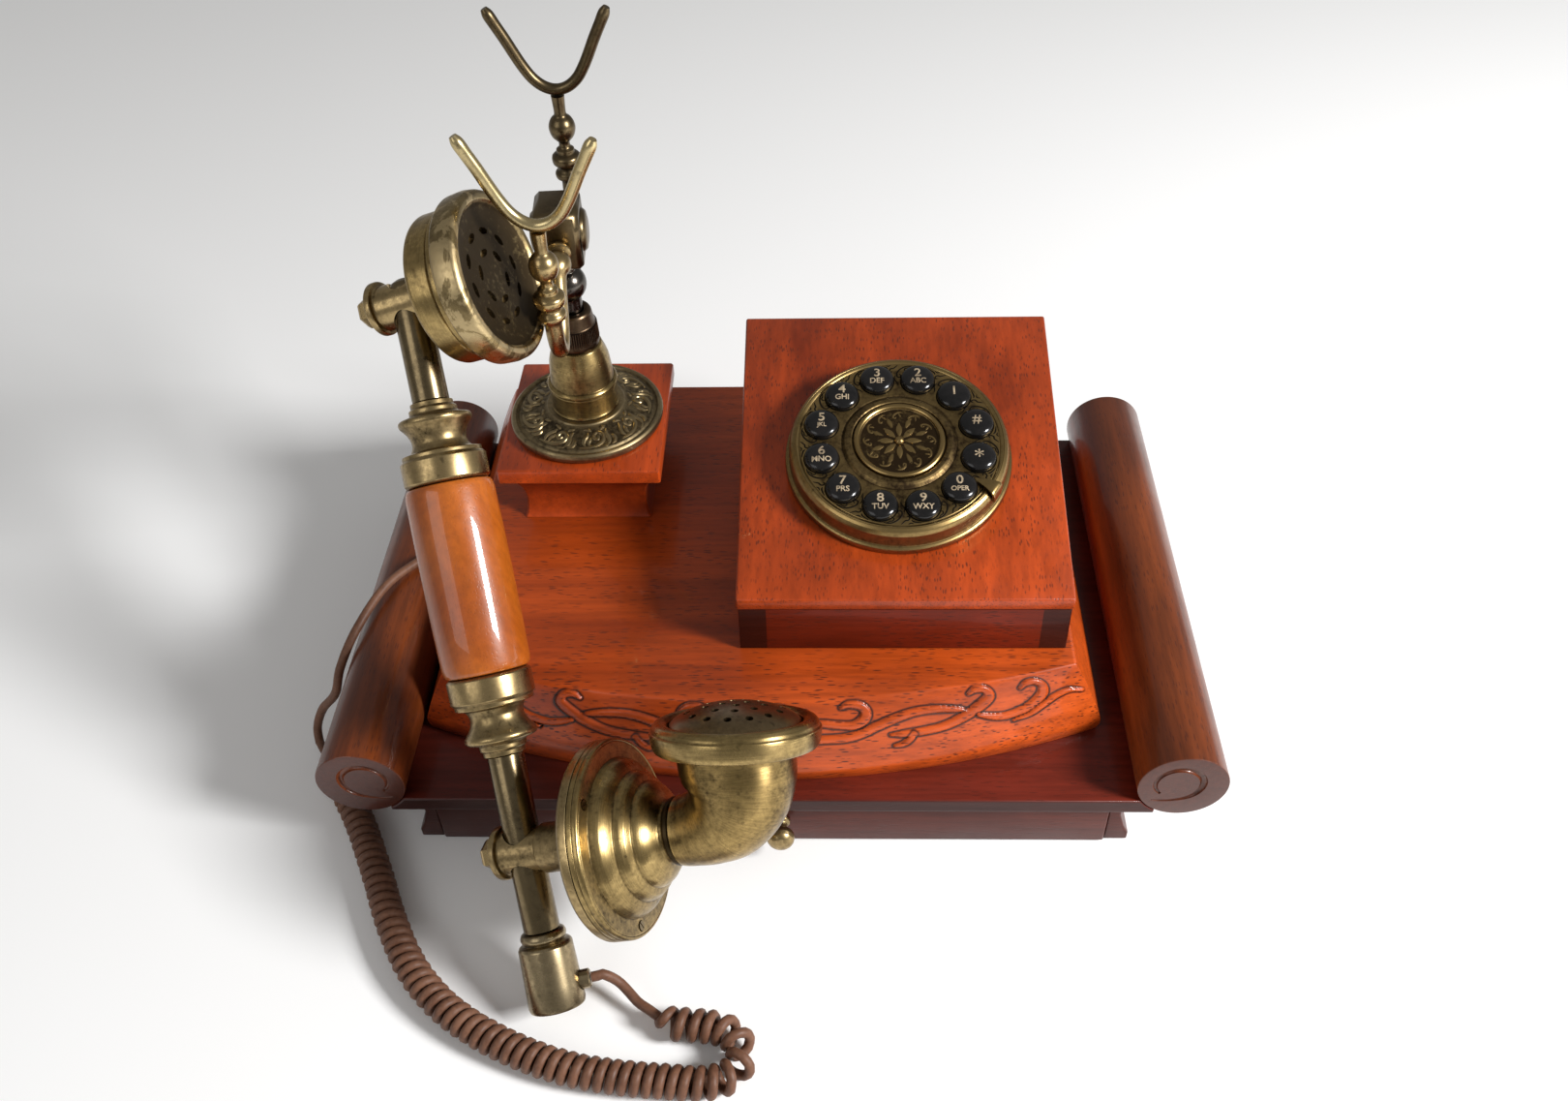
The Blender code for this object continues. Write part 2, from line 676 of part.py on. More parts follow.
def make_column():
    low = pedestal_top + gap
    slope = [(0, 1), (0.50, 1), (0.54, 0.90), (0.64, 0.80), (0.78, 0.66), (0.90, 0.55), (0.93, 0.46),
             (0.97, 0.42), (1.0, 0.30), (1.0, 0.10), (0.97, 0), (0, 0)]
    turned("pedestal_flange", slope, flange_radius, flange_height, "brass", placed((column_x, column_y, low)),
           wide_round)
    low += flange_height + gap
    drum = [(0, 1), (0.60, 1), (0.69, 0.99), (0.72, 0.94), (0.80, 0.84), (0.85, 0.74), (0.89, 0.55),
            (0.90, 0.40), (0.97, 0.385), (1.0, 0.35), (1.0, 0.30), (0.95, 0.27), (0.95, 0.03), (0.99, 0.0), (0, 0)]
    foot = turned("column_drum", drum, foot_radius, foot_height, "brass", placed((column_x, column_y, low)),
                  mid_round)
    low += foot_height
    well_depth = plunger_depth + cradle_travel * 2
    well = cylinder("plunger_well", (column_x, column_y, low - well_depth), (0, 0, 1),
                    collar_bore_radius, well_depth * 2, steps=slim_round)
    combine(foot, well)
    low += gap
    bore = collar_bore_radius / collar_radius
    rows = [(bore, 1), (0.72, 1), (0.80, 0.95), (0.84, 0.80), (0.98, 0.16), (1.0, 0.10), (1.0, 0), (bore, 0)]
    turned("knurled_collar", rows, collar_radius, collar_height, "steel", placed((column_x, column_y, low)),
           collar_ribs, closed=True)
    return low + collar_height


# Cradle


def make_cradle(collar_top):
    base = collar_top - collar_height - plunger_depth
    ball_low = cradle_ball_z - cradle_ball_radius
    length = cradle_ball_z + cradle_ball_radius - base
    rows = []
    count = 9
    for i in range(count):
        angle = math.radians(90.0 - 150.0 * i / (count - 1))
        height = cradle_ball_z - base + cradle_ball_radius * math.sin(angle)
        rows.append((cradle_ball_radius * math.cos(angle), height))
    neck = ball_low - base
    rows[0] = (0, rows[0][1])
    rod = collar_bore_radius - gap
    rows += [(rod, neck), (rod, 0), (0, 0)]
    turned("cradle_plunger", [(r / cradle_ball_radius, h / length) for r, h in rows], cradle_ball_radius,
           length, "steel", placed((column_x, column_y, base)), slim_round)
    half = [size / 2 for size in block_size]
    bottom = cradle_ball_z + cradle_ball_radius + gap
    low = (-half[0], -half[1], max(block_centre_z - half[2], bottom))
    block = brick("cradle_block", low, (half[0], half[1], block_centre_z + half[2]), "dark brass")
    block.matrix_world = Matrix.Translation((column_x, column_y, 0)) @ Matrix.Rotation(
        math.radians(cradle_turn), 4, 'Z')
    soften(block, edge_round * 2.4, 1)
    for side in (-1, 1):
        cap = turned("block_cap", [(0, 1), (0.55, 0.98), (0.88, 0.85), (1, 0.6), (1, 0), (0, 0)],
                     block_cap_radius, block_cap_thickness * 2, "dark brass",
                     placed(on_cradle(side * (half[0] - block_cap_thickness), 0, block_centre_z),
                            Vector(on_cradle(side, 0, 0)) - Vector(on_cradle(0, 0, 0))), slim_round)
        combine(block, cap, 'UNION')


def on_cradle(across, forward, z):
    angle = math.radians(cradle_turn)
    x = column_x + across * math.cos(angle) - forward * math.sin(angle)
    y = column_y + across * math.sin(angle) + forward * math.cos(angle)
    return (x, y, z)


def make_arm(side):
    name = "cradle_arm_front" if side < 0 else "cradle_arm_rear"
    points = []
    radii = []
    start = block_size[1] / 2 + gap
    for share, height, size in arm_share_steps:
        forward = start + (arm_reach - start) * share
        points.append(on_cradle(0, side * forward, arm_dip_z + arm_height * height))
        radii.append(size)
    foot = arm_dip_z + arm_height * arm_share_steps[-1][1]
    for height, size in post_share_steps[1:]:
        points.append(on_cradle(0, side * arm_reach, foot + post_height * height))
        radii.append(size)
    tube(name, points, arm_ball_radius, "brass", radii, roundness=2)
    top = points[-1][2]
    fork = []
    foot_z = top + gap + fork_wire_radius
    for across, up in fork_share_steps:
        turn = math.radians(fork_turns[side])
        reach = fork_spread / 2 * across
        fork.append((points[-1][0] + reach * math.cos(turn), points[-1][1] + reach * math.sin(turn),
                     foot_z + fork_height * up))
    name = "cradle_fork_front" if side < 0 else "cradle_fork_rear"
    sizes = [0.55] + [1.0] * (len(fork) - 2) + [0.55]
    tube(name, fork, fork_wire_radius, "brass", sizes, roundness=2)


# Handset

def lean_point():
    """Where the handle passes behind the receiver; the ear cap rests against the front arm there."""
    arm = on_cradle(0, -arm_reach, lean_height)
    return Vector((arm[0] - lean_reach, arm[1] - lean_forward, lean_height))


def handset_along():
    rise = (lean_height - foot_lift) / upper_cross
    level = math.sqrt(1 - rise * rise)
    heading = math.radians(handset_heading)
    return Vector((level * math.cos(heading), level * math.sin(heading), rise))


def handset_axes():
    along = handset_along()
    level = along.cross(Vector((0, 0, 1))).normalized()
    lift = level.cross(along)
    turn = math.radians(handset_turn)
    ear = level * math.cos(turn) + lift * math.sin(turn)
    return along, ear, along.cross(ear)


def on_handset(height, out=0.0, side=0.0):
    along, ear, third = handset_axes()
    return lean_point() + along * (height - upper_cross) + ear * out + third * side


def along_place(height, out=0.0):
    along, ear, third = handset_axes()
    return placed(on_handset(height, out), along, ear)


def ear_place(height, out):
    along, ear, third = handset_axes()
    return placed(on_handset(height, out), ear, along)


ferrule_shares = [(0, 1), (0.93, 1), (1.0, 0.965), (1.0, 0.70), (0.93, 0.665), (0.93, 0.615), (0.72, 0.59),
                  (0.635, 0.50), (0.65, 0.42), (0.78, 0.30), (0.86, 0.235), (0.845, 0.19), (0.60, 0.155),
                  (0.56, 0.12), (0.56, 0.08), (0.50, 0.06), (0.50, 0), (0, 0)]


def make_handle():
    socket = [(0, 1), (0.70, 1), (0.76, 0.96), (0.76, 0.87), (0.68, 0.83), (0.84, 0.78), (0.90, 0.60),
              (0.98, 0.30), (1.0, 0.08), (0.96, 0.0), (0, 0)]
    end = turned("handset_socket", socket, socket_radius, socket_length, "brass", along_place(0), slim_round)
    pocket = cylinder("bush_pocket", bush_centre(socket_radius - bush_sink - gap), bush_way(),
                      bush_radius + gap, socket_radius, steps=fine_round)
    combine(end, pocket)
    start = socket_length + gap
    rod = [(0, 1), (1, 1), (1, 0), (0, 0)]
    turned("lower_tube", rod, tube_radius, lower_ferrule_start - gap - start, "dark brass",
           along_place(start), slim_round)
    turned("lower_ferrule", ferrule_shares, ferrule_radius, ferrule_length, "brass",
           along_place(lower_ferrule_start), slim_round)
    start = lower_ferrule_start + ferrule_length + gap
    grip = [(0, 1), (0.89, 1), (0.965, 0.985), (1.0, 0.95), (1.015, 0.5), (1.0, 0.05), (0.965, 0.015),
            (0.89, 0), (0, 0)]
    turned("handset_grip", grip, grip_radius, grip_length, "grip wood", along_place(start), mid_round)
    start += grip_length + gap
    flipped = [(r, 1 - h) for r, h in reversed(ferrule_shares)]
    turned("upper_ferrule", flipped, ferrule_radius, ferrule_length, "brass", along_place(start), slim_round)
    start += ferrule_length + gap
    top = upper_cross + tube_top_over
    cap = [(0, 1), (0.6, 0.99), (0.92, 0.965), (1, 0.93), (1, 0), (0, 0)]
    turned("upper_tube", cap, tube_radius, top - start, "dark brass", along_place(start), slim_round)


def bush_way():
    along, ear, third = handset_axes()
    turn = math.radians(bush_turn)
    return ear * math.cos(turn) + third * math.sin(turn)


def bush_centre(out):
    return on_handset(bush_height) + bush_way() * out


def make_handset_bush():
    shares = [(0, 1), (0.82, 1), (1, 0.93), (1, 0), (0, 0)]
    turned("handset_cord_bush", shares, bush_radius, bush_length, "black",
           placed(bush_centre(socket_radius - bush_sink), bush_way()), fine_round)


def make_sleeve(name, height, back, front):
    length = back + front
    washer = sleeve_washer / length
    shares = [(0, 1), (0.94, 1), (1, 0.97), (1, washer * 1.1), (1.24, washer), (1.24, 0.02), (1.18, 0),
              (0, 0)]
    sleeve = turned(name, shares, sleeve_radius, length, "brass", ear_place(height, -back), slim_round)
    nut = turned(name + "_nut", [(0, 1), (1, 1), (1, 0.36), (0.80, 0.16), (0.42, 0.02), (0, 0)], nut_radius,
                 nut_length + gap, "brass", ear_place(height, -back - nut_length), 6)
    combine(sleeve, nut, 'UNION')
    along, ear, third = handset_axes()
    bore = cylinder(name + "_bore", on_handset(height - sleeve_radius * 3), along, tube_radius + gap,
                    sleeve_radius * 6, steps=slim_round)
    combine(sleeve, bore)


def make_receiver():
    cup = [(0, 0.34), (0.78, 0.36), (0.85, 0.46), (0.85, 1), (0.985, 1), (1.0, 0.985), (1.0, 0.88),
           (0.93, 0.84), (0.93, 0.80), (0.952, 0.77), (0.952, 0.30), (0.90, 0.18), (0.80, 0.12),
           (0.34, 0.08), (0.31, 0.0), (0, 0)]
    turned("receiver_cup", cup, cup_radius, cup_length, "brass",
           ear_place(upper_cross, upper_sleeve_front + gap), mid_round)
    start = upper_sleeve_front + cup_length + 2 * gap
    ear = [(0, 0.66), (0.62, 0.68), (0.80, 0.82), (0.87, 1.0), (0.93, 1.0), (0.985, 0.86), (1.0, 0.60),
           (0.99, 0.10), (0.965, 0), (0, 0)]
    turned("ear_cap", ear, ear_radius, ear_length, "dark brass", ear_place(upper_cross, start), mid_round)


def make_transmitter():
    start = lower_sleeve_front + gap
    back = [(0, 1), (1, 1), (1, 0.90), (0.965, 0.85), (0.78, 0.78), (0.46, 0.64), (0.31, 0.46), (0.255, 0.22),
            (0.255, 0), (0, 0)]
    turned("transmitter_back", back, mike_radius, mike_back_length, "brass", ear_place(lower_cross, start),
           wide_round)
    start += mike_back_length + gap
    front = [(0, 1), (0.32, 1), (0.34, 0.975), (0.34, 0.93), (0.315, 0.90), (0.315, 0.85), (0.42, 0.78),
             (0.49, 0.705), (0.525, 0.62), (0.525, 0.59), (0.595, 0.53), (0.645, 0.43), (0.645, 0.40),
             (0.72, 0.35), (0.775, 0.26), (0.80, 0.165), (0.97, 0.165), (1.0, 0.13), (1.0, 0), (0.93, 0),
             (0.93, 0.085), (0.66, 0.12), (0.48, 0.40), (0, 0.46)]
    turned("transmitter_front", front, mike_radius, mike_front_length, "brass", ear_place(lower_cross, start),
           wide_round)
    return start + mike_front_length + gap


def make_horn(start):
    points = []
    radii = []
    for out, up, swell in horn_share_steps:
        points.append(on_handset(lower_cross + horn_rise * up, start + horn_reach * out))
        radii.append(1 + (horn_end_radius / horn_start_radius - 1) * swell)
    along, ear, third = handset_axes()
    tilt = math.radians(horn_tilt)
    way = along * math.cos(tilt) + ear * math.sin(tilt)
    end = on_handset(lower_cross + horn_rise, start + horn_reach)
    points += [end - way * (horn_rise * horn_neck_share), end]
    radii += [1 + (horn_end_radius / horn_start_radius - 1) * (1 - horn_neck_share / 2),
              horn_end_radius / horn_start_radius]
    tube("horn", points, horn_start_radius, "brass", radii, roundness=10)
    seat = dome_radius / rim_radius + gap / rim_radius
    rim = [(seat, 1), (0.94, 1), (0.985, 0.90), (1.0, 0.68), (0.985, 0.46), (0.90, 0.28), (0.76, 0.12),
           (0.70, 0), (0, 0), (0, rim_floor), (seat, rim_floor)]
    turned("mouth_rim", rim, rim_radius, rim_length, "brass", placed(end + way * gap, way, ear), mid_round,
           closed=True)
    dome_low = 2 * gap + rim_length * rim_floor
    dome = [(0, 1), (0.30, 0.97), (0.58, 0.86), (0.80, 0.66), (0.93, 0.44), (1.0, 0.24), (1.0, 0), (0, 0)]
    turned("mouth_dome", dome, dome_radius, dome_height, "dark brass",
           placed(end + way * dome_low, way, ear), slim_round)


# Cord

def smooth_path(points, step):
    """An even path through the points, rounded by Catmull-Rom pieces."""
    knots = [Vector(p) for p in points]
    knots = [knots[0] * 2 - knots[1]] + knots + [knots[-1] * 2 - knots[-2]]
    fine = []
    for a, b, c, d in zip(knots, knots[1:], knots[2:], knots[3:]):
        count = 24
        for i in range(count):
            t = i / count
            fine.append(0.5 * (2 * b + (c - a) * t + (2 * a - 5 * b + 4 * c - d) * t * t
                               + (3 * b - a - 3 * c + d) * t * t * t))
    fine.append(knots[-2])
    even = [fine[0]]
    left = step
    for a, b in zip(fine, fine[1:]):
        span = (b - a).length
        while span >= left:
            a = a + (b - a) * (left / span)
            even.append(a.copy())
            span = (b - a).length
            left = step
        left -= span
    if (even[-1] - fine[-1]).length > step * 0.3:
        even.append(fine[-1])
    else:
        even[-1] = fine[-1]
    return even


def cord_ends():
    first = bush_centre(socket_radius - bush_sink + bush_length + gap)
    last = Vector((deck_bush_face() - gap, deck_bush_y, deck_bush_z))
    return first, last


def curl_path(path, step):
    """The helix round the path; its pitch opens where the path bends."""
    across = Vector((0, 0, 1))
    angle = 0.0
    points = []
    count = len(path)
    ramp = curl_pitch * 1.6
    start = wire_radius * 2.2
    length = step * (count - 1)
    fine = 8
    for i in range(count - 1):
        a, b = path[i], path[i + 1]
        before = path[max(i - 3, 0)]
        after = path[min(i + 4, count - 1)]
        way = (b - a).normalized()
        head = (path[min(i + 1, count - 1)] - before).normalized()
        tail = (after - path[i]).normalized()
        bend = head.angle(tail, 0.0) / max((after - before).length / 2, step)
        shrink = max(1 - bend * (curl_radius + wire_radius * 0.2), 0.25)
        loose = max(0.0, 1 - step * i / loose_length)
        pitch = max(curl_pitch + (loose_pitch - curl_pitch) * loose, (2 * wire_radius + curl_gap) / shrink)
        for j in range(fine):
            s = step * (i + j / fine)
            middle = a + (b - a) * (j / fine)
            side = way.cross(across).normalized()
            up = side.cross(way)
            ease = max(0.0, min(1.0, (s - start) / ramp, (length - s - start) / ramp))
            reach = curl_radius * (3 * ease * ease - 2 * ease * ease * ease)
            points.append((middle + side * (reach * math.cos(angle)) + up * (reach * math.sin(angle)), angle))
            angle += 2 * math.pi * step / fine / pitch
    chosen = [points[0][0]]
    next_angle = 2 * math.pi / curl_points
    for point, turn in points:
        if turn >= next_angle:
            chosen.append(point)
            next_angle += 2 * math.pi / curl_points
    chosen.append(path[-1])
    return chosen, angle / (2 * math.pi)


def least_gap(points):
    """The least clear distance between stretches of the tube that aren't neighbours on it."""
    least = 1.0
    run = [0.0]
    for a, b in zip(points, points[1:]):
        run.append(run[-1] + (b - a).length)
    for i in range(0, len(points) - 1):
        a = (points[i] + points[i + 1]) / 2
        for j in range(i + 1, len(points) - 1):
            if run[j] - run[i] < wire_radius * 6:
                continue
            start, end = points[j], points[j + 1]
            line = end - start
            share = max(0.0, min(1.0, (a - start).dot(line) / max(line.dot(line), tiny * tiny)))
            least = min(least, (start + line * share - a).length - 2 * wire_radius)
    return least


def make_cord():
    first, last = cord_ends()
    way = bush_way()
    straight = wire_radius * 2.4
    step = route_step
    route = smooth_path(coil_route, step)
    lead = (route[2] - route[0]).normalized()
    head = [first, first + way * (straight / 2), first + way * straight] + [Vector(p) for p in first_tail]
    head += [route[0] - lead * straight, route[0] - lead * (straight / 2), route[0] - lead * gap]
    head_path = smooth_path(head, tail_step)
    tube("cord_tail_handset", head_path, wire_radius, "cord", roundness=2)
    curls, turns = curl_path(route, step)
    tube("cord_coil", curls, wire_radius, "cord", roundness=1)
    tail = [route[-1]] + [Vector(p) for p in last_tail]
    tail += [last - Vector((straight, 0, 0)), last - Vector((straight / 2, 0, 0)), last]
    away = (route[-1] - route[-3]).normalized()
    tail[0:1] = [tail[0] + away * gap, tail[0] + away * (straight / 2), tail[0] + away * straight]
    tail_path = smooth_path(tail, tail_step)
    tube("cord_tail_deck", tail_path, wire_radius, "cord", roundness=2)
    print("cord curls", round(turns, 1), "least gap between curls mm", round(least_gap(curls) * 1000, 3))
    total = sum((b - a).length for run in (head_path, route, tail_path) for a, b in zip(run, run[1:]))
    print("cord route length mm", round(total * 1000, 1))


def make_all():
    for side in (-1, 1):
        make_roll(side)
    make_base_board()
    make_plinth()
    make_drawer()
    make_deck()
    make_deck_fittings()
    make_box()
    make_dial()
    make_keys()
    make_stop()
    make_pedestal()
    collar_top = make_column()
    make_cradle(collar_top)
    for side in (-1, 1):
        make_arm(side)
    make_handle()
    make_handset_bush()
    make_sleeve("lower_sleeve", lower_cross, lower_sleeve_back, lower_sleeve_front)
    make_sleeve("upper_sleeve", upper_cross, upper_sleeve_back, upper_sleeve_front)
    make_receiver()
    make_horn(make_transmitter())
    make_cord()


make_all()
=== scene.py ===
import math

import bmesh
import bpy
import numpy as np
from mathutils import Matrix, Vector


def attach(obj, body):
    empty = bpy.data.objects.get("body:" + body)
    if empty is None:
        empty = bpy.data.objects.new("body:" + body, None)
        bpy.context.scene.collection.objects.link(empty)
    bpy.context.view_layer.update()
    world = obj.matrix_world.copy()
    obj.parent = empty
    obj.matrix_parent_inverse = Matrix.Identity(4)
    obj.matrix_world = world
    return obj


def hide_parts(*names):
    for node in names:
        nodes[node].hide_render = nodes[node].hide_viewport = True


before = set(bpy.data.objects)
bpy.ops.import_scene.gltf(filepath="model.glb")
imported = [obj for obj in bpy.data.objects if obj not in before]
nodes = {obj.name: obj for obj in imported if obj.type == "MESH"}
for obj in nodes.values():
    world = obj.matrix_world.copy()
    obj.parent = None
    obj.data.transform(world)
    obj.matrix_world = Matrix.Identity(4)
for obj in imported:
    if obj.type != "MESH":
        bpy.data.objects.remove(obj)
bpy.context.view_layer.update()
scene = bpy.context.scene
print("frame loaded:", len(nodes), "nodes")


def linked(name, data):
    made = bpy.data.objects.new(name, data)
    scene.collection.objects.link(made)
    return made


# camera, in the photo's place
cameraSpot = {
    "place": (0.02164, -0.39825, 0.4467), "pitch": 44.204, "yaw": -2.764, "roll": -2.067, "lens": 32.032,
    "shiftX": 0.0028}


def makeCamera():
    pitch, yaw, roll = (math.radians(cameraSpot[k]) for k in ("pitch", "yaw", "roll"))
    ahead = Vector((math.sin(yaw) * math.cos(pitch), math.cos(yaw) * math.cos(pitch), -math.sin(pitch)))
    level = Vector((math.cos(yaw), -math.sin(yaw), 0))
    upright = level.cross(ahead)
    right = level * math.cos(roll) + upright * math.sin(roll)
    up = upright * math.cos(roll) - level * math.sin(roll)
    data = bpy.data.cameras.new("photoCamera")
    data.lens = cameraSpot["lens"]
    data.sensor_width = 36
    data.shift_x = cameraSpot["shiftX"]
    data.clip_start = 0.01
    camera = linked("photoCamera", data)
    camera.matrix_world = Matrix.Translation(cameraSpot["place"]) @ Matrix((right, up, -ahead)).transposed().to_4x4()
    scene.camera = camera


makeCamera()
print("camera placed")

tiny = 1e-7  # points nearer than this count as one
gap = 0.0003  # clearance between neighbouring pieces, as in the CAD


# mesh helpers
def placed(centre, up=(0, 0, 1), side=None):
    rise = Vector(up).normalized()
    lead = Vector(side) if side is not None else Vector((1, 0, 0) if abs(rise.x) < 0.9 else (0, 1, 0))
    across = (lead - rise * lead.dot(rise)).normalized()
    return Matrix.Translation(Vector(centre)) @ Matrix((across, rise.cross(across), rise)).transposed().to_4x4()


# a bmesh made into a named mesh, its faces first turned outward if asked
def meshFrom(work, name, outward=False):
    if outward:
        bmesh.ops.recalc_face_normals(work, faces=work.faces)
    mesh = bpy.data.meshes.new(name)
    work.to_mesh(mesh)
    work.free()
    return mesh


# a profile with its corners cut round
def eased(rows, reach):
    rows = [Vector(r) for r in rows]
    out = [rows[0]]
    for before, corner, after in zip(rows, rows[1:], rows[2:]):
        a, b = before - corner, after - corner
        if a.length < tiny or b.length < tiny or a.angle(b) > math.radians(163):
            out.append(corner)
            continue
        back = corner + a.normalized() * min(reach, a.length * 0.42)
        onward = corner + b.normalized() * min(reach, b.length * 0.42)
        for i in range(4):
            t = i / 3
            out.append(back * (1 - t) ** 2 + corner * 2 * t * (1 - t) + onward * t * t)
    return out + [rows[-1]]


# how far each point stands out of (+) or lies in (-) its surroundings, for wear and patina, and for painted shade in
# the wood's corners
def markRelief(mesh, shade=None):
    work = bmesh.new()
    work.from_mesh(mesh)
    work.normal_update()
    worth = []
    for v in work.verts:
        total, count = 0.0, 0
        for e in v.link_edges:
            away = e.other_vert(v).co - v.co
            if away.length > tiny:
                total -= away.normalized().dot(v.normal)
                count += 1
        worth.append(total / max(count, 1))
    for _ in range(2):  # evened out over the neighbours
        worth = [(worth[v.index] * 2 + sum(worth[e.other_vert(v).index] for e in v.link_edges))
                 / (2 + len(v.link_edges)) for v in work.verts]
    if shade:
        worth = [w + shade(v.co) for w, v in zip(worth, work.verts)]
    work.free()
    mesh.attributes.new("relief", 'FLOAT', 'POINT').data.foreach_set("value", worth)


def addPiece(name, mesh, material, body, replaced=(), sharp=32, shade=None, finish=None):
    for face in mesh.polygons:
        face.use_smooth = True
    mesh.set_sharp_from_angle(angle=math.radians(sharp))
    markRelief(mesh, shade)
    mesh.materials.clear()
    mesh.materials.append(material)
    piece = linked(name, mesh)
    if replaced:
        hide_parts(*replaced)
    if replaced or finish:
        finish or replaced[0]
    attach(piece, body)
    return piece


# a turned mesh: rows are (radius, height) from the top down its outside
def lathe(name, rows, place, steps=96, corner=0.0003, closed=False):
    rows = eased(rows + [rows[0], rows[1]], corner)[1:-1] if closed else eased(rows, corner)
    work = bmesh.new()
    wrap = work.loops.layers.uv.new("wrap")
    run = [0.0]
    for a, b in zip(rows, rows[1:]):
        run.append(run[-1] + (b - a).length)
    girth = 2 * math.pi * max(r.x for r in rows)
    rings = []
    for r in rows:
        if r.x < tiny:
            rings.append([work.verts.new((0, 0, r.y))] * steps)
            continue
        turns = [2 * math.pi * i / steps for i in range(steps)]
        rings.append([work.verts.new((r.x * math.cos(turn), r.x * math.sin(turn), r.y)) for turn in turns])
    if closed and (rows[0] - rows[-1]).length < tiny:
        rings[-1] = rings[0]
    for k in range(len(rings) - 1):
        for i in range(steps):
            j = (i + 1) % steps
            kept = []
            for c in ((rings[k][i], i, run[k]), (rings[k + 1][i], i, run[k + 1]),
                      (rings[k + 1][j], i + 1, run[k + 1]), (rings[k][j], i + 1, run[k])):
                if c[0] not in [x[0] for x in kept]:
                    kept.append(c)
            if len(kept) < 3:
                continue
            face = work.faces.new([c[0] for c in kept])
            for loop, c in zip(face.loops, kept):
                loop[wrap].uv = (c[1] / steps * girth, c[2])
    if closed and rings[-1] is not rings[0]:
        for i in range(steps):
            j = (i + 1) % steps
            work.faces.new((rings[-1][i], rings[0][i], rings[0][j], rings[-1][j]))
    bmesh.ops.delete(work, geom=[v for v in work.verts if not v.link_faces], context='VERTS')
    bmesh.ops.remove_doubles(work, verts=work.verts, dist=tiny)
    bmesh.ops.recalc_face_normals(work, faces=work.faces)
    bmesh.ops.transform(work, matrix=place, verts=work.verts)
    return meshFrom(work, name)


def rod(name, radius, length, place, steps):
    return lathe(name, [(0, length), (radius, length), (radius, 0), (0, 0)], place, steps, 0)


# Catmull-Rom through the points, for vectors of any size
def smoothLine(points, each):
    knots = [Vector(p) for p in points]
    knots = [knots[0] * 2 - knots[1]] + knots + [knots[-1] * 2 - knots[-2]]
    out = []
    for a, b, c, d in zip(knots, knots[1:], knots[2:], knots[3:]):
        for i in range(each):
            t = i / each
            out.append(0.5 * (2 * b + (c - a) * t + (2 * a - 5 * b + 4 * c - d) * t * t
                              + (3 * b - a - 3 * c + d) * t ** 3))
    return out + [knots[-2]]


# a tube along (x, y, z, radius) points, its frame carried along it and its ends closed
def sweep(name, line, sides=20):
    centres = [Vector(p[:3]) for p in line]
    work = bmesh.new()
    wrap = work.loops.layers.uv.new("wrap")
    ways = []
    for i in range(len(centres)):
        ways.append((centres[min(i + 1, len(centres) - 1)] - centres[max(i - 1, 0)]).normalized())
    across = ways[0].orthogonal().normalized()
    rings, run = [], [0.0]
    for i, centre in enumerate(centres):
        if i:
            across = (ways[i - 1].rotation_difference(ways[i]) @ across).normalized()
            across = (across - ways[i] * across.dot(ways[i])).normalized()
            run.append(run[-1] + (centre - centres[i - 1]).length)
        other = ways[i].cross(across)
        rings.append([work.verts.new(centre + (across * math.cos(2 * math.pi * k / sides)
                                               + other * math.sin(2 * math.pi * k / sides)) * line[i][3])
                      for k in range(sides)])
    girth = 2 * math.pi * max(p[3] for p in line)
    for i in range(len(rings) - 1):
        for k in range(sides):
            m = (k + 1) % sides
            face = work.faces.new((rings[i][k], rings[i][m], rings[i + 1][m], rings[i + 1][k]))
            for loop, uv in zip(face.loops, ((k, i), (k + 1, i), (k + 1, i + 1), (k, i + 1))):
                loop[wrap].uv = (uv[0] / sides * girth, run[uv[1]])
    for ring, centre in ((rings[0], centres[0]), (rings[-1], centres[-1])):
        tip = work.verts.new(centre)
        for k in range(sides):
            work.faces.new((ring[k], ring[(k + 1) % sides], tip))
    return meshFrom(work, name, True)


# a closed skin over rings of points, with the first and the last ring capped
def skinned(name, rings):
    work = bmesh.new()
    levels = [[work.verts.new(p) for p in ring] for ring in rings]
    work.faces.new(levels[0])
    work.faces.new(levels[-1])
    for low, high in zip(levels, levels[1:]):
        for i in range(len(low)):
            j = (i + 1) % len(low)
            work.faces.new((low[i], low[j], high[j], high[i]))
    return meshFrom(work, name, True)


# the mesh that an object comes to; the object itself goes
def taken(holder):
    bpy.context.view_layer.update()
    made = bpy.data.meshes.new_from_object(holder.evaluated_get(bpy.context.evaluated_depsgraph_get()))
    bpy.data.objects.remove(holder)
    return made


# the mesh after modifiers; each change is (kind, {settings})
def applied(mesh, *changes):
    holder = linked("holder", mesh)
    for kind, settings in changes:
        change = holder.modifiers.new(kind, kind)
        for key, value in settings.items():
            setattr(change, key, value)
    return taken(holder)


# the mesh with each tool mesh taken out of it, or joined to it
def cut(mesh, tools, way='DIFFERENCE'):
    for tool in tools:
        holder = linked("cutter", tool)
        mesh = applied(mesh, ('BOOLEAN', {"operation": way, "solver": 'EXACT', "object": holder}))
        bpy.data.objects.remove(holder)
    return mesh


# meshes joined into one
def joined(*meshes):
    work = bmesh.new()
    for mesh in meshes:
        work.from_mesh(mesh)
    return meshFrom(work, meshes[0].name)


# sets a node's properties and inputs, each input from a socket or a plain value
def feed(node, values):
    for key, value in values.items():
        if isinstance(key, str) and hasattr(node, key):
            setattr(node, key, value)
            continue
        socket = node.inputs[key.replace("_", " ") if isinstance(key, str) else key]
        if isinstance(value, bpy.types.NodeSocket):
            node.id_data.links.new(value, socket)
        else:
            socket.default_value = value


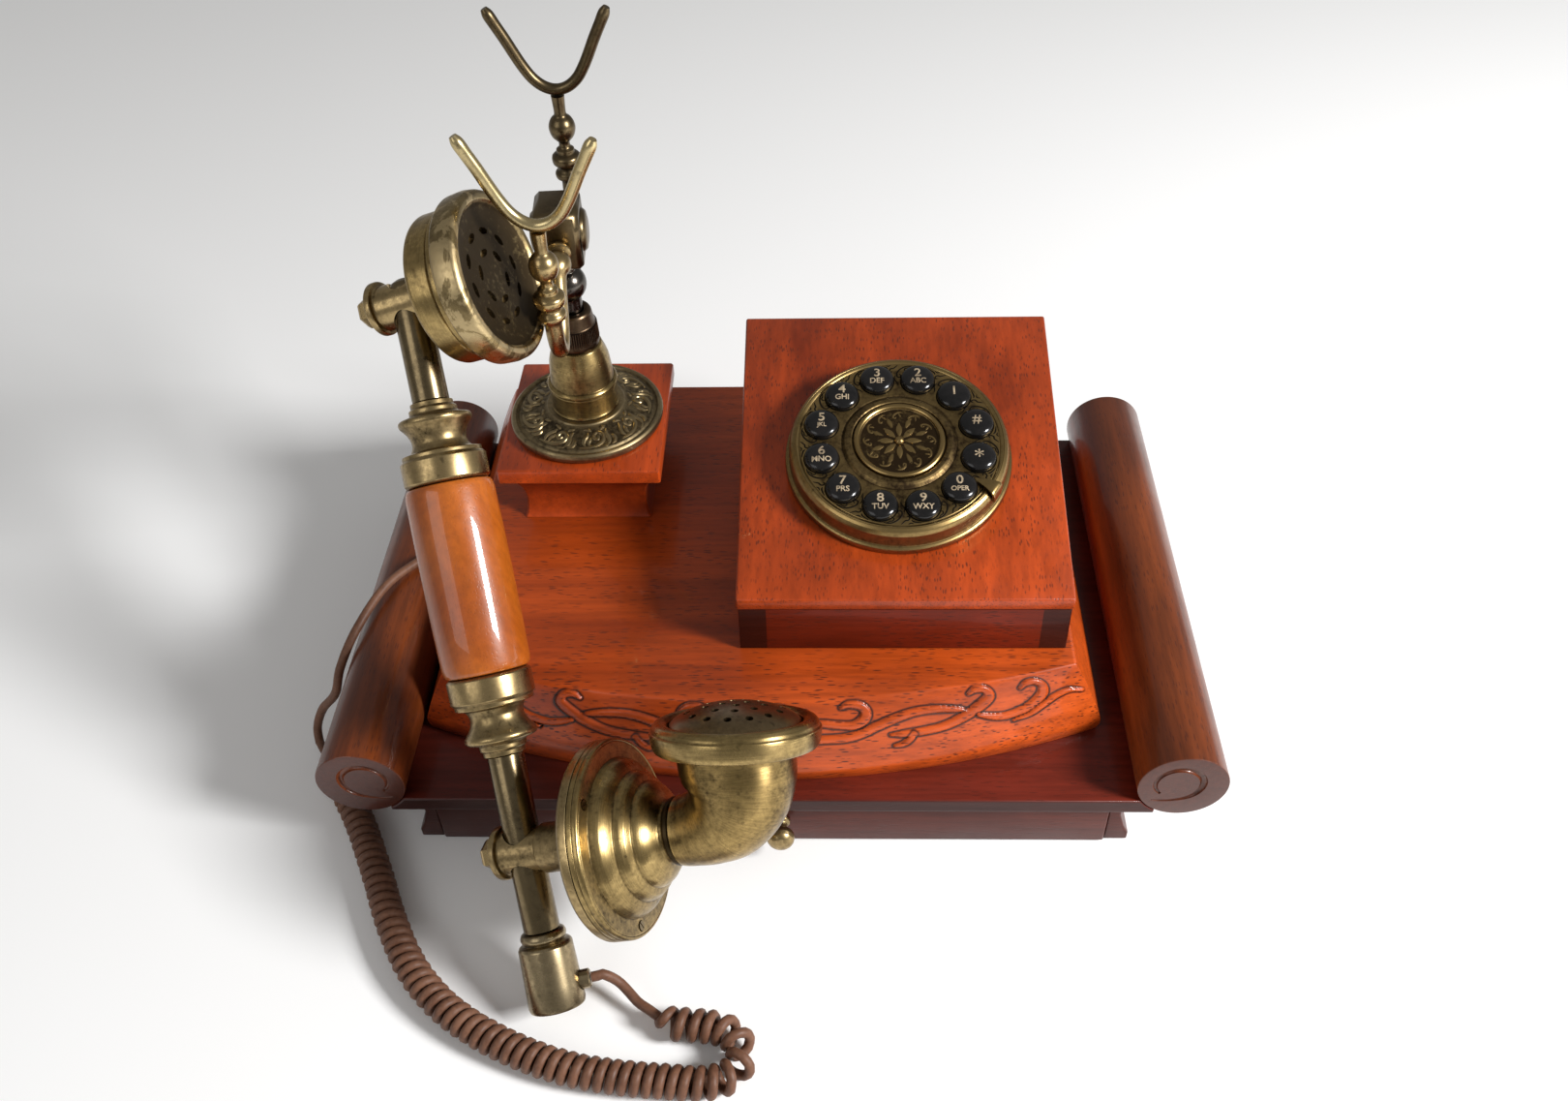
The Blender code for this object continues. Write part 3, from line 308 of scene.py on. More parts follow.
def adder(tree, prefix):
    def add(kind, links=None, out=0, **settings):
        node = tree.nodes.new(prefix + kind)
        feed(node, settings)
        feed(node, links or {})
        return node.outputs[out]

    return add


# Geometry Nodes: each tree takes a shape and named sizes, and ends in plain finished mesh
def startTree(name, sizes):
    tree = bpy.data.node_groups.new(name, 'GeometryNodeTree')
    kinds = {"Shape": "Geometry", "Count": "Int", "Sides": "Int", "Finish": "Material"}
    for label in ["Shape", "Count", "Start"] + sizes.split() + ["Finish"]:
        tree.interface.new_socket(label, in_out='INPUT', socket_type='NodeSocket' + kinds.get(label, "Float"))
    tree.interface.new_socket("Shape", in_out='OUTPUT', socket_type='NodeSocketGeometry')
    given = tree.nodes.new("NodeGroupInput").outputs
    end = tree.nodes.new("NodeGroupOutput")
    add, plain = adder(tree, "GeometryNode"), adder(tree, "ShaderNode")

    def calc(way, *values):
        return plain("Math", dict(enumerate(values)), operation=way)

    def xyz(x=0.0, y=0.0, z=0.0):
        return plain("CombineXYZ", {"X": x, "Y": y, "Z": z})

    # copies of a shape turned round the axis, in one finished mesh
    def finish(shape):
        marks = add("Points", {"Count": given["Count"]})
        share = calc('DIVIDE', add("InputIndex"), given["Count"])
        spin = xyz(z=calc('MULTIPLY_ADD', share, 2 * math.pi, given["Start"]))
        whole = add("RealizeInstances", {"Geometry": add("InstanceOnPoints", {
            "Points": marks, "Instance": shape, "Rotation": spin})})
        tree.links.new(add("SetMaterial", {"Geometry": whole, "Material": given["Finish"]}), end.inputs[0])
        return tree

    return given, add, calc, xyz, finish


# edges with a width attribute, made into flattened strokes
def strokeTree():
    given, add, calc, xyz, finish = startTree("strokes", "Sides Flatten")
    line = add("MeshToCurve", {"Mesh": given["Shape"]})
    width = add("InputNamedAttribute", data_type='FLOAT', Name="width")
    ring = add("CurvePrimitiveCircle", {"Resolution": given["Sides"]}, mode='RADIUS', Radius=1.0)
    tube = add("CurveToMesh", {"Curve": line, "Profile Curve": ring, "Scale": width}, Fill_Caps=True)
    return finish(add("Transform", {"Geometry": tube, "Scale": xyz(1.0, 1.0, given["Flatten"])}))


# pegs standing round the axis: perforations, slots and ribs
def pegTree():
    given, add, calc, xyz, finish = startTree("pegs", "Sides Radius Length Stretch Lean Reach Height")
    peg = add("MeshCylinder", {"Vertices": given["Sides"], "Radius": given["Radius"], "Depth": given["Length"]})
    return finish(add("Transform", {
        "Geometry": peg, "Scale": xyz(1.0, given["Stretch"], 1.0), "Rotation": xyz(y=given["Lean"]),
        "Translation": xyz(given["Reach"], 0.0, given["Height"])}))


# slotted screws: a low head with its slot cut
def screwTree():
    given, add, calc, xyz, finish = startTree("screws", "Radius Rise Slot Turn Reach Height")
    head = add("MeshCylinder", {"Radius": given["Radius"], "Depth": given["Rise"]}, Vertices=28)
    size = xyz(calc('MULTIPLY', given["Radius"], 3.0), given["Slot"], given["Rise"])
    blade = add("Transform", {"Geometry": add("MeshCube", {"Size": size}),
                              "Translation": xyz(z=calc('MULTIPLY', given["Rise"], 0.6))})
    head = add("MeshBoolean", {"Mesh 1": head, "Mesh 2": blade}, operation='DIFFERENCE', solver='EXACT')
    return finish(add("Transform", {"Geometry": head, "Rotation": xyz(z=given["Turn"]),
                                    "Translation": xyz(given["Reach"], 0.0, given["Height"])}))


# runs a tree on a mesh and gives back the plain mesh, set in its place
def grown(tree, sizes, place=None, mesh=None):
    holder = linked("holder", mesh or bpy.data.meshes.new("seed"))
    change = holder.modifiers.new("grow", 'NODES')
    change.node_group = tree
    for item in tree.interface.items_tree:
        if item.in_out == 'INPUT' and item.name in sizes:
            change[item.identifier] = sizes[item.name]
    made = taken(holder)
    if place is not None:
        made.transform(place)
    return made


def pegRing(count, start, sides, radius, length, reach, height, place=None, stretch=1.0, lean=0.0):
    return grown(pegs, {"Count": count, "Start": start, "Sides": sides, "Radius": radius, "Length": length,
                        "Reach": reach, "Height": height, "Stretch": stretch, "Lean": lean}, place)


def strokeRing(count, start, sides, flatten, mesh, place=None):
    return grown(strokes, {"Count": count, "Start": start, "Sides": sides, "Flatten": flatten}, place, mesh)


# strokes of (degrees, reach, half width) in degrees and mm, laid at the height that rise gives
def strokeEdges(lines, rise, flatten):
    work = bmesh.new()
    width = work.verts.layers.float.new("width")
    for stroke in lines:
        before = None
        for degrees, reach, half in smoothLine(stroke, 4):
            angle, reach = math.radians(degrees), reach * 0.001
            spot = work.verts.new((reach * math.cos(angle), reach * math.sin(angle),
                                   (rise(reach) - half * 0.0003 * flatten) / flatten))
            spot[width] = half * 0.001
            if before:
                work.edges.new((before, spot))
            before = spot
    return meshFrom(work, "strokes")


strokes, pegs, screws = strokeTree(), pegTree(), screwTree()
print("node trees made")


# materials
def nodeMaker(name):
    made = bpy.data.materials.new(name)
    made.use_nodes = True
    add = adder(made.node_tree, "ShaderNode")

    def noise(where, scale, detail, rough=0.5, bend=0.0):
        return add("TexNoise", {"Vector": where}, "Fac", Scale=scale, Detail=detail, Roughness=rough,
                   Distortion=bend)

    def blend(share, a, b):
        return add("Mix", {0: share, 2: a, 3: b}, data_type='FLOAT')

    def mix(share, a, b, way='MIX'):
        return add("Mix", {0: share, 6: a, 7: b}, 2, data_type='RGBA', blend_type=way)

    def calc(way, a, b=0.0):
        return add("Math", {0: a, 1: b}, operation=way)

    # each stop is (place, colour), with a plain number for a grey
    def ramp(source, *stops):
        out = add("ValToRGB", {"Fac": source}, "Color")
        marks = out.node.color_ramp.elements
        while len(marks) < len(stops):
            marks.new(0.5)
        for mark, (place, colour) in zip(marks, stops):
            mark.position = place
            mark.color = (*colour, 1) if isinstance(colour, tuple) else (colour, colour, colour, 1)
        return out

    return made, made.node_tree.nodes["Principled BSDF"], add, noise, blend, mix, calc, ramp


def brighter(colour, times, more=0.0):
    return tuple(min(1.0, c * times + more) for c in colour) + (1,)


# lacquered wood whose grain runs along x, y or z; a tone given as (axis, middle, reach, colour) colours end grain, and
# on the base board paints shade on its front and back edges
def woodMaterial(name, along, dark, light, pores=0.9, gloss=0.06, endGrainAndEdgeShade=None, streaks=0.8, coat=0.22, shine=0.3,
                 stain=0.5):
    made, shader, add, noise, blend, mix, calc, ramp = nodeMaker(name)
    coords = add("TexCoord", out="Object")

    def drawn(share):  # coordinates drawn out along the grain
        scale = [share if axis == along else 1 for axis in "xyz"]
        return add("Mapping", {"Vector": coords}, Scale=scale)

    turn = drawn(0.07)
    broad, fine, cloud = noise(turn, 38.0, 5.0, 0.55, 0.6), noise(turn, 420.0, 4.0, 0.6), noise(coords, 11.0, 2.0)
    grain = add("MapRange", {"Value": blend(0.4, broad, cloud)}, From_Min=0.34, From_Max=0.66)
    middle = tuple((a + b) / 2 for a, b in zip(dark, light))
    tone = ramp(grain, (0.0, dark), (0.5, middle), (1.0, light))
    streak = ramp(fine, (0.35, 0.6), (0.62, 1.0))
    toned = mix(streaks, tone, streak, 'MULTIPLY')
    toned = mix(stain, toned, ramp(cloud, (0.36, 0.55), (0.58, 1.0)), 'MULTIPLY')
    # open pores: short dark dashes along the grain
    cells = add("TexVoronoi", {"Vector": drawn(0.17)}, "Distance", Scale=1250.0, Randomness=1.0)
    dash = ramp(cells, (0.24, 1.0), (0.42, 0.0))
    someOf = ramp(cells.node.outputs["Color"], (0.46, 0.0), (0.52, 1.0))
    crowd = ramp(noise(coords, 60.0, 2.0), (0.36, 0.25), (0.56, 1.0))
    pore = calc('MULTIPLY', calc('MULTIPLY', dash, someOf), crowd)
    inked = mix(calc('MULTIPLY', pore, pores), toned, (0.035, 0.008, 0.005, 1))
    # rubbed lighter on edges (wear), darker in corners and hollows (painted shade)
    relief = add("Attribute", out="Fac", attribute_name="relief")
    worn = ramp(relief, (0.0, 0.0), (0.55, 1.0))
    edged = mix(calc('MULTIPLY', worn, 0.35), inked, brighter(light, 1.5))
    # painted shade: near-black where the surface lies in, the deck carving's painted shade included
    sunk = ramp(calc('MULTIPLY', relief, -1.0), (0.04, 0.0), (0.55, 1.0))
    final = mix(sunk, edged, (0.022, 0.006, 0.004, 1))
    # end grain tone on faces beyond the reach; on the base board this is painted shade on the front and back edges
    if endGrainAndEdgeShade:
        axis, centre, reach, colour = endGrainAndEdgeShade
        apart = add("SeparateXYZ", {"Vector": coords}, axis.upper())
        away = calc('ABSOLUTE', calc('SUBTRACT', apart, centre))
        beyond = add("MapRange", {"Value": away}, From_Min=reach - 0.00008, From_Max=reach + 0.00008)
        facing = add("SeparateXYZ", {"Vector": add("NewGeometry", out="True Normal")}, "Y")
        both = calc('MULTIPLY', beyond, calc('MULTIPLY', facing, facing))
        shaded = ramp(cloud, (0.3, tuple(c * 0.6 for c in colour)), (0.7, colour))
        final = mix(both, final, mix(0.6, shaded, streak, 'MULTIPLY'))
    bump = add("Bump", {"Height": calc('SUBTRACT', fine, pore)}, Strength=0.16, Distance=0.0002)
    feed(shader, {
        "Base Color": final, "Roughness": ramp(noise(coords, 85.0, 4.0), (0.3, 0.3), (0.7, 0.42)), "Normal": bump,
        "Specular IOR Level": shine, "Coat Weight": coat, "Coat Roughness": gloss})
    return made


# antique brass: rubbed bright where it stands out, dark where it lies in; brush follows the turning
def brassMaterial(name, bright, dark, patina=0.5, rough=(0.24, 0.46), brush=0.0, worn=0.0, stretched=0.0):
    made, shader, add, noise, blend, mix, calc, ramp = nodeMaker(name)
    coords = add("TexCoord", out="Object")
    relief = add("Attribute", out="Fac", attribute_name="relief")
    cloud, small = noise(coords, 55.0, 6.0, 0.62, 0.4), noise(coords, 520.0, 4.0, 0.7)
    raised = add("MapRange", {"Value": relief}, From_Min=-0.28, From_Max=0.28)
    level = add("MapRange", {"Value": calc('ADD', calc('ADD', raised, cloud), small)},
                From_Min=0.95 + 0.35 * patina, From_Max=1.55 + 0.5 * patina)
    middle = tuple(a * 0.45 + b * 0.55 for a, b in zip(dark, bright))
    tone = ramp(level, (0.0, dark), (0.45, middle), (1.0, bright))
    drawnOut = add("Mapping", {"Vector": add("UVMap", uv_map="wrap")}, Scale=(0.035, 1.0, 1.0))
    streak = noise(drawnOut, 2600.0, 3.0, 0.6)
    fleck = ramp(noise(coords, 300.0, 2.0), (0.66, 0.0), (0.74, 1.0))
    brushed = mix(brush, tone, ramp(streak, (0.3, 0.62), (0.7, 1.0)), 'MULTIPLY')
    final = mix(calc('MULTIPLY', fleck, 0.5), brushed, (*dark, 1))
    # plating rubbed through in patches with hard edges
    outside = add("MapRange", {"Value": relief}, From_Min=-0.3, From_Max=-0.12)
    bared = calc('MULTIPLY', ramp(noise(coords, 70.0, 5.0, 0.62, 0.8), (0.5, 0.0), (0.53, worn)), outside)
    height = blend(min(1.0, brush * 1.2), small, streak)
    feed(shader, {
        "Base Color": mix(bared, final, brighter(bright, 1.45, 0.05)), "Metallic": 1.0,
        "Roughness": add("MapRange", {"Value": level}, To_Min=rough[1], To_Max=rough[0]),
        "Normal": add("Bump", {"Height": height}, Strength=0.12 + 0.22 * brush, Distance=0.00012)})
    if stretched:
        feed(shader, {"Tangent": add("Tangent", direction_type='UV_MAP', uv_map="wrap"),
                      "Anisotropic": stretched, "Anisotropic Rotation": 0.25})
    return made


def plainMaterial(name, low, high, rough=(0.3, 0.45), scale=300.0, bumpy=0.08, coat=0.0, metallic=0.0, shine=0.5):
    made, shader, add, noise, blend, mix, calc, ramp = nodeMaker(name)
    coords = add("TexCoord", out="Object")
    speckle, broad = noise(coords, scale, 5.0, 0.6), noise(coords, scale * 0.12, 2.0)
    feed(shader, {
        "Base Color": ramp(blend(0.5, speckle, broad), (0.38, low), (0.62, high)),
        "Roughness": add("MapRange", {"Value": broad}, From_Min=0.3, From_Max=0.7, To_Min=rough[0],
                         To_Max=rough[1]),
        "Normal": add("Bump", {"Height": speckle}, Strength=bumpy, Distance=0.0001),
        "Specular IOR Level": shine, "Coat Weight": coat, "Coat Roughness": 0.05, "Metallic": metallic})
    return made


redWoodX = woodMaterial("mahoganyAcross", "x", (0.19, 0.021, 0.003), (0.62, 0.092, 0.01))
redWoodY = woodMaterial("mahoganyDeep", "y", (0.16, 0.017, 0.003), (0.56, 0.073, 0.009))
wallWood = woodMaterial(
    "mahoganyWalls", "x", (0.075, 0.009, 0.003), (0.2, 0.02, 0.006), endGrainAndEdgeShade=("x", 0.0488, 0.0494, (0.05, 0.009, 0.005)),
    coat=0.1, shine=0.12)
# its front and back edges get a darker, greyer tone: painted shade
boardWood = woodMaterial(
    "mahoganyBoard", "x", (0.055, 0.008, 0.005), (0.14, 0.017, 0.008), pores=0.5,
    endGrainAndEdgeShade=("y", 0.0, 0.096, (0.046, 0.014, 0.011)), coat=0.12, shine=0.2)
darkWoodX = woodMaterial(
    "mahoganyDark", "x", (0.036, 0.009, 0.007), (0.09, 0.017, 0.01), pores=0.4, coat=0.12, shine=0.2)
rollWood = woodMaterial(
    "rollWood", "y", (0.042, 0.008, 0.003), (0.2, 0.043, 0.008), pores=0.6, streaks=0.9,
    endGrainAndEdgeShade=("y", 0.0, 0.1004, (0.08, 0.018, 0.008)), coat=0.3, stain=0.3)
gripWood = woodMaterial(
    "gripWood", "z", (0.36, 0.072, 0.006), (0.58, 0.155, 0.013), pores=0.12, gloss=0.04, streaks=0.5, coat=0.6,
    shine=0.3)
rawWood = woodMaterial("drawerWood", "x", (0.2, 0.085, 0.035), (0.36, 0.18, 0.08), pores=0.4, gloss=0.35)
oldBrass = brassMaterial("oldBrass", (0.46, 0.335, 0.16), (0.045, 0.031, 0.016), 0.55, brush=0.3)
brushedBrass = brassMaterial(
    "brushedBrass", (0.5, 0.355, 0.145), (0.055, 0.037, 0.017), 0.52, (0.24, 0.42), brush=0.9, stretched=0.6)
hornBrass = brassMaterial(
    "hornBrass", (0.5, 0.345, 0.13), (0.06, 0.038, 0.018), 0.6, (0.24, 0.42), brush=1.0, stretched=0.75)
wornBrass = brassMaterial(
    "wornBrass", (0.33, 0.245, 0.115), (0.045, 0.031, 0.016), 0.45, (0.2, 0.6), brush=0.4, worn=0.8)
paleBrass = brassMaterial("paleBrass", (0.6, 0.48, 0.25), (0.11, 0.085, 0.045), 0.25, (0.26, 0.42), brush=0.3)
# the cradle block's dark brass; on the rear arm and fork the same dark colour is painted shade and a painted dark
# reflection
darkBrassAndRearShade = brassMaterial("darkBrassAndRearShade", (0.15, 0.11, 0.058), (0.016, 0.012, 0.008), 0.45, (0.28, 0.45), brush=0.2)
bronze = brassMaterial("bronze", (0.235, 0.165, 0.085), (0.03, 0.02, 0.011), 0.4, (0.3, 0.48), brush=0.2)
dullBrass = brassMaterial("dullBrass", (0.31, 0.235, 0.125), (0.045, 0.033, 0.019), 0.4, (0.34, 0.52), brush=0.1)
dialBrass = brassMaterial("dialBrass", (0.33, 0.225, 0.09), (0.048, 0.03, 0.015), 0.3, (0.3, 0.5), brush=0.3)
blackLine = brassMaterial("blackLine", (0.022, 0.017, 0.012), (0.006, 0.005, 0.004), 0.4, (0.5, 0.7))
tubeMetal = brassMaterial("tubeMetal", (0.2, 0.15, 0.08), (0.026, 0.019, 0.013), 0.35, (0.22, 0.38), brush=0.25)
socketMetal = brassMaterial("socketMetal", (0.41, 0.32, 0.185), (0.055, 0.04, 0.024), 0.45, (0.24, 0.4), brush=0.3)
ballMetal = plainMaterial("ballMetal", (0.055, 0.05, 0.048), (0.12, 0.105, 0.09), (0.14, 0.26), metallic=1.0)
collarMetal = brassMaterial("collarMetal", (0.11, 0.072, 0.043), (0.022, 0.014, 0.01), 0.35, (0.3, 0.44), brush=0.2)
keyBlack = plainMaterial(
    "keyBlack", (0.004, 0.004, 0.004), (0.009, 0.008, 0.008), (0.12, 0.22), 400.0, 0.02, coat=0.15, shine=0.3)
keyPrint = plainMaterial("keyPrint", (0.16, 0.12, 0.075), (0.56, 0.44, 0.29), (0.4, 0.6), 900.0)
cordBrown = plainMaterial(
    "cordBrown", (0.105, 0.046, 0.026), (0.17, 0.078, 0.044), (0.46, 0.6), 700.0, 0.1, shine=0.3)
boardGreen = plainMaterial("boardGreen", (0.02, 0.07, 0.03), (0.04, 0.12, 0.05), (0.5, 0.6))
socketBlack = plainMaterial("socketBlack", (0.012, 0.012, 0.013), (0.024, 0.024, 0.025), (0.4, 0.55))
print("materials made")


# handset axes: it stands on its foot and leans back against the front arm
handset = {
    "foot": (-0.0705, -0.168, 0.0066), "way": (-0.1984, 0.6645, 0.7205), "turn": 30.0, "tube": 0.0062,
    "socketRadius": 0.0098, "socketLength": 0.0265, "lowerCross": 0.0543, "upperCross": 0.244,
    "ferruleRadius": 0.0144, "ferruleLength": 0.0279, "lowerFerrule": 0.088, "gripRadius": 0.015,
    "gripLength": 0.0648, "tubeBeyond": 0.008, "pocketRadius": 0.0036, "pocketLong": 0.0098, "pocketOut": 0.0053,
    "bushHeight": 0.0072, "bushTurn": 22.0}
alongWay = Vector(handset["way"]).normalized()
levelWay = alongWay.cross(Vector((0, 0, 1))).normalized()
liftWay = levelWay.cross(alongWay)


# the way so many degrees on from first towards second
def spun(first, second, degrees):
    return first * math.cos(math.radians(degrees)) + second * math.sin(math.radians(degrees))


earWay = spun(levelWay, liftWay, handset["turn"])
thirdWay = alongWay.cross(earWay)
bushWay = spun(earWay, thirdWay, handset["bushTurn"])


def onHandset(height, out=0.0):
    return Vector(handset["foot"]) + alongWay * height + earWay * out


def alongPlace(height):
    return placed(onHandset(height), alongWay, earWay)


def earPlace(height, out):
    return placed(onHandset(height, out), earWay, alongWay)


def scaled(shares, radius, length):
    return [(r * radius, h * length) for r, h in shares]


# cord; its route is the middle line of the curls
cordSizes = {
    "wire": 0.00175, "curl": 0.0041, "pitch": 0.0039, "spare": 0.0004, "loosePitch": 0.007, "looseLength": 0.024,
    "perCurl": 14, "step": 0.001, "tailStep": 0.002, "bushReach": 0.0131, "deckExit": (-0.12667, 0.003, 0.052),
    "firstTail": [(-0.05, -0.1605, 0.009)], "route": [(-0.04, -0.1685, 0.0061), (-0.032, -0.1735, 0.0061),
    (-0.022, -0.1745, 0.0061), (-0.0125, -0.1765, 0.0061), (-0.007, -0.1835, 0.0061), (-0.0105, -0.1915, 0.0061),
    (-0.0195, -0.1945, 0.0061), (-0.031, -0.194, 0.0061), (-0.045, -0.193, 0.0061), (-0.062, -0.1905, 0.0061),
    (-0.0785, -0.1855, 0.0061), (-0.096, -0.1775, 0.0061), (-0.111, -0.1675, 0.0061), (-0.124, -0.154, 0.0061),
    (-0.1352, -0.136, 0.0061), (-0.1452, -0.1155, 0.0061), (-0.1565, -0.094, 0.0061), (-0.169, -0.0745, 0.0061),
    (-0.18, -0.0585, 0.0061)], "lastTail": [(-0.183, -0.051, 0.011), (-0.178, -0.051, 0.022), (-0.169, -0.054, 0.035),
    (-0.1655, -0.05, 0.0455), (-0.16, -0.039, 0.0545), (-0.152, -0.021, 0.0595), (-0.143, -0.008, 0.0595),
    (-0.1365, 0.0, 0.057)]}


def evenLine(points, step):
    fine = smoothLine(points, 24)
    even, left = [fine[0]], step
    for a, b in zip(fine, fine[1:]):
        span = (b - a).length
        while span >= left:
            a = a + (b - a) * (left / span)
            even.append(a.copy())
            span = (b - a).length
            left = step
        left -= span
    if (even[-1] - fine[-1]).length > step * 0.3:
        even.append(fine[-1])
    return even


# the curls round the path; they open where the path bends and at the loose start
def curledLine(path, c):
    angle, points, count, fine = 0.0, [], len(path), 8
    step, rise, start = c["step"], c["pitch"] * 1.6, c["wire"] * 2.2
    length = step * (count - 1)
    for i in range(count - 1):
        a, b = path[i], path[i + 1]
        before, after = path[max(i - 3, 0)], path[min(i + 4, count - 1)]
        way = (b - a).normalized()
        bend = (b - before).normalized().angle((after - a).normalized(), 0.0) / max((after - before).length / 2, step)
        loose = max(0.0, 1 - step * i / c["looseLength"])
        tight = (2 * c["wire"] + c["spare"]) / max(1 - bend * (c["curl"] + c["wire"] * 0.2), 0.25)
        pitch = max(c["pitch"] + (c["loosePitch"] - c["pitch"]) * loose, tight)
        for j in range(fine):
            s = step * (i + j / fine)
            side = way.cross(Vector((0, 0, 1))).normalized()
            ease = max(0.0, min(1.0, (s - start) / rise, (length - s - start) / rise))
            reach = c["curl"] * (3 * ease * ease - 2 * ease ** 3)
            points.append((a + (b - a) * (j / fine) + side * (reach * math.cos(angle))
                           + side.cross(way) * (reach * math.sin(angle)), angle))
            angle += 2 * math.pi * step / fine / pitch
    chosen, nextAngle = [points[0][0]], 2 * math.pi / c["perCurl"]
    for point, turn in points:
        if turn >= nextAngle:
            chosen.append(point)
            nextAngle += 2 * math.pi / c["perCurl"]
    return chosen + [path[-1]]


def makeCord():
    c = cordSizes
    first = onHandset(handset["bushHeight"]) + bushWay * c["bushReach"]
    last = Vector(c["deckExit"])
    straight = c["wire"] * 2.4
    route = evenLine(c["route"], c["step"])
    lead = (route[2] - route[0]).normalized()
    away = (route[-1] - route[-3]).normalized()
    head = [first, first + bushWay * (straight / 2), first + bushWay * straight, *map(Vector, c["firstTail"]),
            route[0] - lead * straight, route[0] - lead * (straight / 2), route[0] - lead * gap]
    tail = [route[-1] + away * gap, route[-1] + away * (straight / 2), route[-1] + away * straight,
            *map(Vector, c["lastTail"]), last - Vector((straight, 0, 0)), last - Vector((straight / 2, 0, 0)), last]
    line = evenLine(head, c["tailStep"]) + curledLine(route, c) + evenLine(tail, c["tailStep"])
    curve = bpy.data.curves.new("curlyCord", 'CURVE')
    curve.dimensions = '3D'
    curve.bevel_depth = c["wire"]
    curve.bevel_resolution = 3
    curve.use_fill_caps = True
    run = curve.splines.new('POLY')
    run.points.add(len(line) - 1)
    for spot, point in zip(run.points, line):
        spot.co = (*point, 1.0)
    run.use_smooth = True
    curve.materials.append(cordBrown)
    cord = linked("curlyCord", curve)
    length = sum((b - a).length for a, b in zip(line, line[1:]))
    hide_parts("cord_coil", "cord_tail_handset", "cord_tail_deck")
    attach(cord, "base")
    print("cord made, wire length", round(length, 3), "m")


makeCord()


# wooden base; groove is the spiral cut in the rolls' ends: (degrees, reach, width)
base = {
    "rollRadius": 0.016, "rollX": 0.1468, "rollZ": 0.0405, "halfDepth": 0.101, "eyeShift": (0.0023, 0.0014),
    "grooveWidth": 0.0014, "groove": [(225, 0.475, 0.35), (202, 0.48, 0.52), (180, 0.487, 0.62), (157, 0.49, 0.68),
    (135, 0.494, 0.74), (112, 0.502, 0.82), (90, 0.512, 0.9), (67, 0.53, 0.96), (45, 0.545, 1.0), (22, 0.56, 1.0),
    (0, 0.562, 1.0), (-22, 0.556, 0.92), (-45, 0.55, 0.8), (-68, 0.545, 0.6), (-90, 0.56, 0.46), (-105, 0.605, 0.4),
    (-120, 0.675, 0.36), (-132, 0.76, 0.25)]}


def makeRolls():
    b = base
    radius, deep = b["rollRadius"], b["halfDepth"]
    for side, name in ((-1, "scroll_roll_left"), (1, "scroll_roll_right")):
        mesh = lathe(name, [(0, 2 * deep), (radius, 2 * deep), (radius, 0), (0, 0)],
                     placed((side * b["rollX"], deep, b["rollZ"]), (0, -1, 0)), 128, 0.0006)
        tools = []
        for y in (-deep, deep):
            line = []
            for degrees, reach, width in b["groove"]:
                angle = math.radians(degrees)
                across = radius * reach * math.cos(angle) - b["eyeShift"][0]
                z = b["rollZ"] + radius * reach * math.sin(angle) + b["eyeShift"][1]
                line.append((side * (b["rollX"] + across), y, z, b["grooveWidth"] * width))
            tools.append(sweep("groove", smoothLine(line, 4), 12))
        addPiece(name + "_look", cut(mesh, tools), rollWood, "base", [name])


makeRolls()


# a welded copy of a flat-sided CAD node with finely rounded edges
def dressCopy(node, material, body, width, segments=3):
    mesh = nodes[node].data.copy()
    work = bmesh.new()
    work.from_mesh(mesh)
    bmesh.ops.remove_doubles(work, verts=work.verts, dist=2e-6)
    bmesh.ops.dissolve_limit(work, angle_limit=math.radians(1.0), verts=work.verts, edges=work.edges)
    work.to_mesh(mesh)
    work.free()
    mesh = applied(mesh, ('BEVEL', {"width": width, "segments": segments, "limit_method": 'ANGLE',
                                    "angle_limit": math.radians(40), "harden_normals": False}))
    addPiece(node + "_look", mesh, material, body, [node], sharp=40)


for name, material, body, width in (
        ("base_board", boardWood, "base", 0.0004), ("plinth_end_left", darkWoodX, "base", 0.0006),
        ("plinth_end_right", darkWoodX, "base", 0.0006), ("plinth_back_rail", darkWoodX, "base", 0.0004),
        ("floor_board", rawWood, "base", 0.0003), ("drawer_tray", rawWood, "drawer", 0.0003),
        ("drawer_front", darkWoodX, "drawer", 0.0004), ("dial_box_walls", wallWood, "base", 0.0005),
        ("line_socket", socketBlack, "base", 0.0002)):
    dressCopy(name, material, body, width)
print("base made")

# the profile is in shares of the flare and of the height
deckSizes = {
    "low": 0.0318, "top": 0.0639, "halfWidth": 0.1145, "centreX": -0.0035, "backY": 0.1, "cornerY": -0.064,
    "bowY": -0.0815, "flare": 0.0115, "cornerShare": 0.35, "columns": 740, "carvedFrom": 0.26, "carvedStep": 0.00034,
    "plainStep": 0.0009, "carvedHalf": 120, "profile": [(0.92, 0), (1, 0.08),
    (1.02, 0.155), (1, 0.2), (0.96, 0.245), (0.9, 0.3), (0.78, 0.42), (0.62, 0.55), (0.46, 0.68), (0.3, 0.8),
    (0.14, 0.91), (0.02, 0.985)], "pocketLow": (-0.05655, 0.089, 0.0417), "pocketHigh": (-0.04345, 0.101, 0.0523)}

